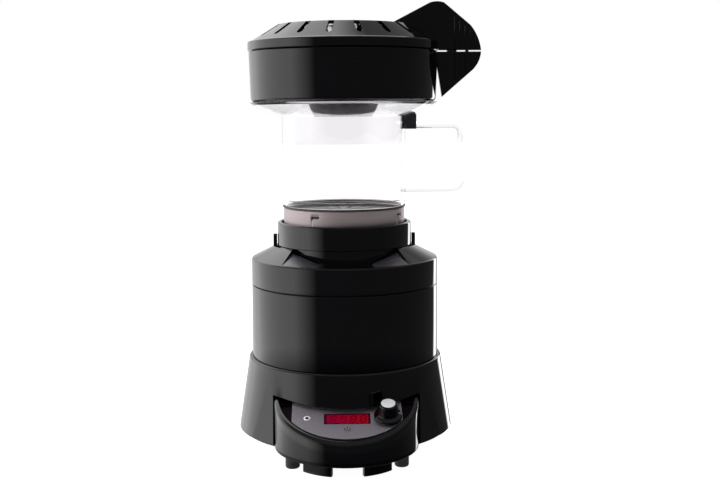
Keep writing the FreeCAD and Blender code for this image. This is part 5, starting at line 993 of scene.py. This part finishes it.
class ROASTER_OT_grips(Operator):
    """Upper grip on the lid and lower grip on the collector"""

    bl_idname = "roaster.grips"
    bl_label = "Grips"

    def execute(self, context):
        """Each grip is a flat outline raised to its thickness."""
        sizes = context.scene.roaster_sizes
        seam, top = 276.6, 295.2
        crown = arc((61.5, top + 15.7), (71.9, top + 15.7), 15.47, -1, 10)
        nose = arc((90.5, seam + 18.5), (98.1, seam + 0.5), 34, -1, 12)
        upper = np.concatenate([[(34.5, top - 1.2), (35, top + 1.8)], crown, nose,
                                [(66.4, seam + 0.5), (66.4, seam + 6.2), (64.0, seam + 7.0),
                                 (47, top - 1.6)]])
        run = 90.5 - 71.9
        lefts = 78.8 + 3.7 * np.arange(sizes.grip_ribs)
        slope = top + 15.7 - (top + 15.7 - seam - 18.5) * (lefts + 1.2 - 71.9) / run
        ribs = [(left, seam + 0.9, high - 3.2) for left, high in zip(lefts, slope)]
        piece("upper_grip_plate", grip_shape(upper[::-1], ribs), "lid", "polished shell",
              ("upper_grip",), sharp=45)
        corner = arc((98.1, seam - 0.5), (90.5, seam - 14.8), 20, -1, 12)
        lower = np.concatenate([corner, [(70, seam - 32.6), (66.2, seam - 8), (66.2, seam - 0.5)]])
        depth = seam - 32.6 + 17.8 * (lefts + 1.2 - 70) / 20.5
        ribs = [(left, low + 3.2, seam - 0.9) for left, low in zip(lefts, depth)]
        pads = [slab(box_outline(left, right, seam - 1.0, seam + 0.4), -2.6, 2.6, 0.1)
                for left, right in ((73.8, 80.6), (86.9, 89.1))]
        piece("lower_grip_plate", joined(grip_shape(lower[::-1], ribs), placed(joined(*pads), SIDEWAYS)),
              "collector", "polished shell", ("lower_grip",), sharp=45)
        return {"FINISHED"}


# -------------------------------------------------------------- pieces left as solids
SOLID_FINISHES = {
    "grained shell": ("intake_grille", "display_module", "key_switch", "blower_housing", "blower_cover",
                      "air_duct",
                      "thermostat", "transformer", "relay", "capacitor", "chaff_deflector", "screen_frame"),
    "rubber": ("cord_gland",),
    "seal": ("base_seal", "duct_gasket", "collar_gasket", "lid_seal"),
    "circuit board": ("control_board", "power_board"),
    "plain steel": ("encoder_body", "encoder_rotor", "encoder_shaft", "motor_can", "motor_shaft",
                    "heater_tube",
                    "heater_coil", "thermal_fuse", "pan_screws", "board_screws", "bracket_screws",
                    "housing_screws", "chaff_screen"),
    "bush bronze": ("motor_bushes",),
    "ferrite": ("motor_magnets",),
    "winding wire": ("armature",),
    "white plastic": ("impeller",),
    "mica": ("mica_frame",),
    "air plate steel": ("air_plate",),
}


class ROASTER_OT_solids(Operator):
    """Finishes for the pieces whose solids show as they are"""

    bl_idname = "roaster.solids"
    bl_label = "Inner pieces"

    def execute(self, context):
        for finish, nodes in SOLID_FINISHES.items():
            for node in nodes:
                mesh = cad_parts[node].data
                mesh.materials.clear()
                mesh.materials.append(material(finish))
        return {"FINISHED"}


# --------------------------------------------------------------------------- stage
# Softboxes round the room, as (turn where one begins, where it ends, brightness, softness of
# its ends). Turns are in degrees: 0 behind the roaster, -90 its left, 90 its right.
AROUND = ((-115, -45, 1.8, 30), (-40, 15, 0.9, 10), (28, 34, 4.0, 5))
ABOVE = ((-60, -5, 2.0, 20),)
ROOM = 0.1
ROOM_ABOVE = 0.3
PEAK = 4.0


def brightness(boxes, room):
    """Stops (turn, brightness) where the highest of the room and all boxes bends. A box
    rises from nothing to its own brightness over its softness at each end."""
    turns = sorted({-180, 180, *(turn for start, end, _, soft in boxes
                                 for turn in (start - soft, start, end, end + soft))})

    def level(turn):
        return max(room, *(power * min(1, max(0, 1 + min(turn - start, end - turn) / soft))
                           for start, end, power, soft in boxes))

    return [(turn, level(turn) / PEAK) for turn in turns]


class ROASTER_OT_stage(Operator):
    """Camera, softboxes, surroundings and the pale floor"""

    bl_idname = "roaster.stage"
    bl_label = "Stage"

    def execute(self, context):
        """The surroundings' brightness is a band round the horizon, read from the
        direction's angle atan2(x, y), times a band over its height z."""
        scene = context.scene
        studio = scene.roaster_studio
        camera = bpy.data.objects.new("camera", bpy.data.cameras.new("camera"))
        scene.collection.objects.link(camera)
        camera.location = studio.eye
        camera.rotation_euler = (studio.pitch, studio.roll, studio.yaw)
        camera.data.lens, camera.data.sensor_width = studio.lens, 36
        camera.data.shift_y = studio.rise
        scene.camera = camera
        self.surroundings(scene)
        self.lamp("overhead_softbox", (0.0, 0.25, 1.1), (0, 0, 0.15), 0.9, studio.overhead)
        self.lamp("left_softbox", (-1.3, -0.1, 0.55), (0, 0, 0.15), 0.7, studio.side)
        self.floor(scene)
        scene.view_settings.view_transform = "Standard"
        return {"FINISHED"}

    def lamp(self, name, place, aim, size, power):
        data = bpy.data.lights.new(name, "AREA")
        data.shape, data.size, data.energy = "SQUARE", size, power
        lamp = bpy.data.objects.new(name, data)
        bpy.context.scene.collection.objects.link(lamp)
        lamp.location = place
        lamp.rotation_euler = (Vector(aim) - Vector(place)).to_track_quat("-Z", "Y").to_euler()
        lamp.visible_glossy = False
        lamp.visible_transmission = False

    def surroundings(self, scene):
        world = bpy.data.worlds.new("studio")
        scene.world = world
        world.use_nodes = True
        tree = world.node_tree
        tree.nodes.clear()
        new, link = tree.nodes.new, tree.links.new
        split = new("ShaderNodeSeparateXYZ")
        link(new("ShaderNodeTexCoord").outputs["Generated"], split.inputs[0])
        angle, degrees = new("ShaderNodeMath"), new("ShaderNodeMath")
        angle.operation, degrees.operation = "ARCTAN2", "DEGREES"
        link(split.outputs["X"], angle.inputs[0])
        link(split.outputs["Y"], angle.inputs[1])
        link(angle.outputs[0], degrees.inputs[0])

        def band(source, low, high, stops):
            """A grey for each value of source, between the stops (value, brightness)."""
            reach, ramp = new("ShaderNodeMapRange"), new("ShaderNodeValToRGB")
            reach.inputs["From Min"].default_value, reach.inputs["From Max"].default_value = low, high
            link(source, reach.inputs["Value"])
            elements = ramp.color_ramp.elements
            places = [(place - low) / (high - low) for place, _ in stops]
            elements[0].position, elements[1].position = places[0], places[-1]
            for place in places[1:-1]:
                elements.new(place)
            for element, (_, level) in zip(elements, stops):
                element.color = (level, level, level, 1)
            link(reach.outputs["Result"], ramp.inputs["Fac"])
            return ramp.outputs["Color"]

        def blended(kind, factor, first, second):
            mix = new("ShaderNodeMix")
            mix.data_type, mix.blend_type = "RGBA", kind
            if isinstance(factor, float):
                mix.inputs["Factor"].default_value = factor
            else:
                link(factor, mix.inputs["Factor"])
            link(first, mix.inputs[6])
            link(second, mix.inputs[7])
            return mix.outputs[2]

        horizon, upper = (band(degrees.outputs[0], -180, 180, brightness(boxes, room))
                          for boxes, room in ((AROUND, ROOM), (ABOVE, ROOM_ABOVE)))
        lower = blended("MULTIPLY", 1.0, horizon, band(split.outputs["Z"], -1, 1,
                                                       [(-1, 0.1), (-0.36, 0.25), (-0.26, 1.0)]))
        total = blended("MIX", band(split.outputs["Z"], -1, 1, [(0.22, 0.0), (0.62, 1.0)]), lower, upper)
        lit, white = new("ShaderNodeBackground"), new("ShaderNodeBackground")
        link(total, lit.inputs["Color"])
        lit.inputs["Strength"].default_value = PEAK
        white.inputs["Color"].default_value = (1, 1, 1, 1)
        rays, through, seen = new("ShaderNodeLightPath"), new("ShaderNodeMath"), new("ShaderNodeMath")
        through.operation, seen.operation = "MULTIPLY", "MAXIMUM"
        behind = band(split.outputs["Y"], -1, 1, [(0.35, 0.0), (0.8, 1.0)])
        link(rays.outputs["Is Transmission Ray"], through.inputs[0])
        link(behind, through.inputs[1])
        link(rays.outputs["Is Camera Ray"], seen.inputs[0])
        link(through.outputs[0], seen.inputs[1])
        mix = new("ShaderNodeMixShader")
        link(seen.outputs[0], mix.inputs[0])
        link(lit.outputs[0], mix.inputs[1])
        link(white.outputs[0], mix.inputs[2])
        link(mix.outputs[0], new("ShaderNodeOutputWorld").inputs["Surface"])

    def floor(self, scene):
        """A square plane, brightest where it is lit and never quite dark."""
        mesh = bpy.data.meshes.new("floor")
        reach = 6.0
        mesh.from_pydata([(-reach, -reach, 0), (reach, -reach, 0), (reach, reach, 0), (-reach, reach, 0)], [],
                         [(0, 1, 2, 3)])
        floor = bpy.data.objects.new("floor", mesh)
        scene.collection.objects.link(floor)
        recipe = Recipe("pale_floor")
        recipe.set(Roughness=0.9, Emission_Color=(1.0, 1.0, 1.0), Emission_Strength=0.97)
        recipe.link(recipe.blend(recipe.spread(recipe.noise(2), 0, 1), (0.30, 0.30, 0.30),
                                 (0.34, 0.34, 0.34)),
                    recipe.shader.inputs["Base Color"])
        mesh.materials.append(recipe.material)
        floor.visible_glossy = False


PIECES = (ROASTER_OT_skirt, ROASTER_OT_nose, ROASTER_OT_housings, ROASTER_OT_neck, ROASTER_OT_underside,
          ROASTER_OT_panel, ROASTER_OT_display, ROASTER_OT_knob, ROASTER_OT_collar, ROASTER_OT_glass,
          ROASTER_OT_collector, ROASTER_OT_lid, ROASTER_OT_grips, ROASTER_OT_solids, ROASTER_OT_stage)


class ROASTER_PT_pieces(Panel):
    """Lists the pieces and the sizes, finishes and studio settings"""

    bl_label = "Coffee roaster"
    bl_idname = "ROASTER_PT_pieces"
    bl_space_type = "VIEW_3D"
    bl_region_type = "UI"
    bl_category = "Roaster"

    def draw(self, context):
        scene = context.scene
        for group in (scene.roaster_sizes, scene.roaster_finishes, scene.roaster_studio):
            box = self.layout.box()
            for name in group.__annotations__:
                box.prop(group, name)
        for operator in PIECES:
            self.layout.operator(operator.bl_idname)


CLASSES = (RoasterSizes, RoasterFinishes, RoasterStudio, *PIECES, ROASTER_PT_pieces)


def register():
    for item in CLASSES:
        bpy.utils.register_class(item)
    bpy.types.Scene.roaster_sizes = PointerProperty(type=RoasterSizes)
    bpy.types.Scene.roaster_finishes = PointerProperty(type=RoasterFinishes)
    bpy.types.Scene.roaster_studio = PointerProperty(type=RoasterStudio)


def unregister():
    for name in ("roaster_sizes", "roaster_finishes", "roaster_studio"):
        delattr(bpy.types.Scene, name)
    for item in reversed(CLASSES):
        bpy.utils.unregister_class(item)


def main():
    register()
    for operator in PIECES:
        group, name = operator.bl_idname.split(".")
        getattr(getattr(bpy.ops, group), name)()


if __name__ == "__main__":
    main()
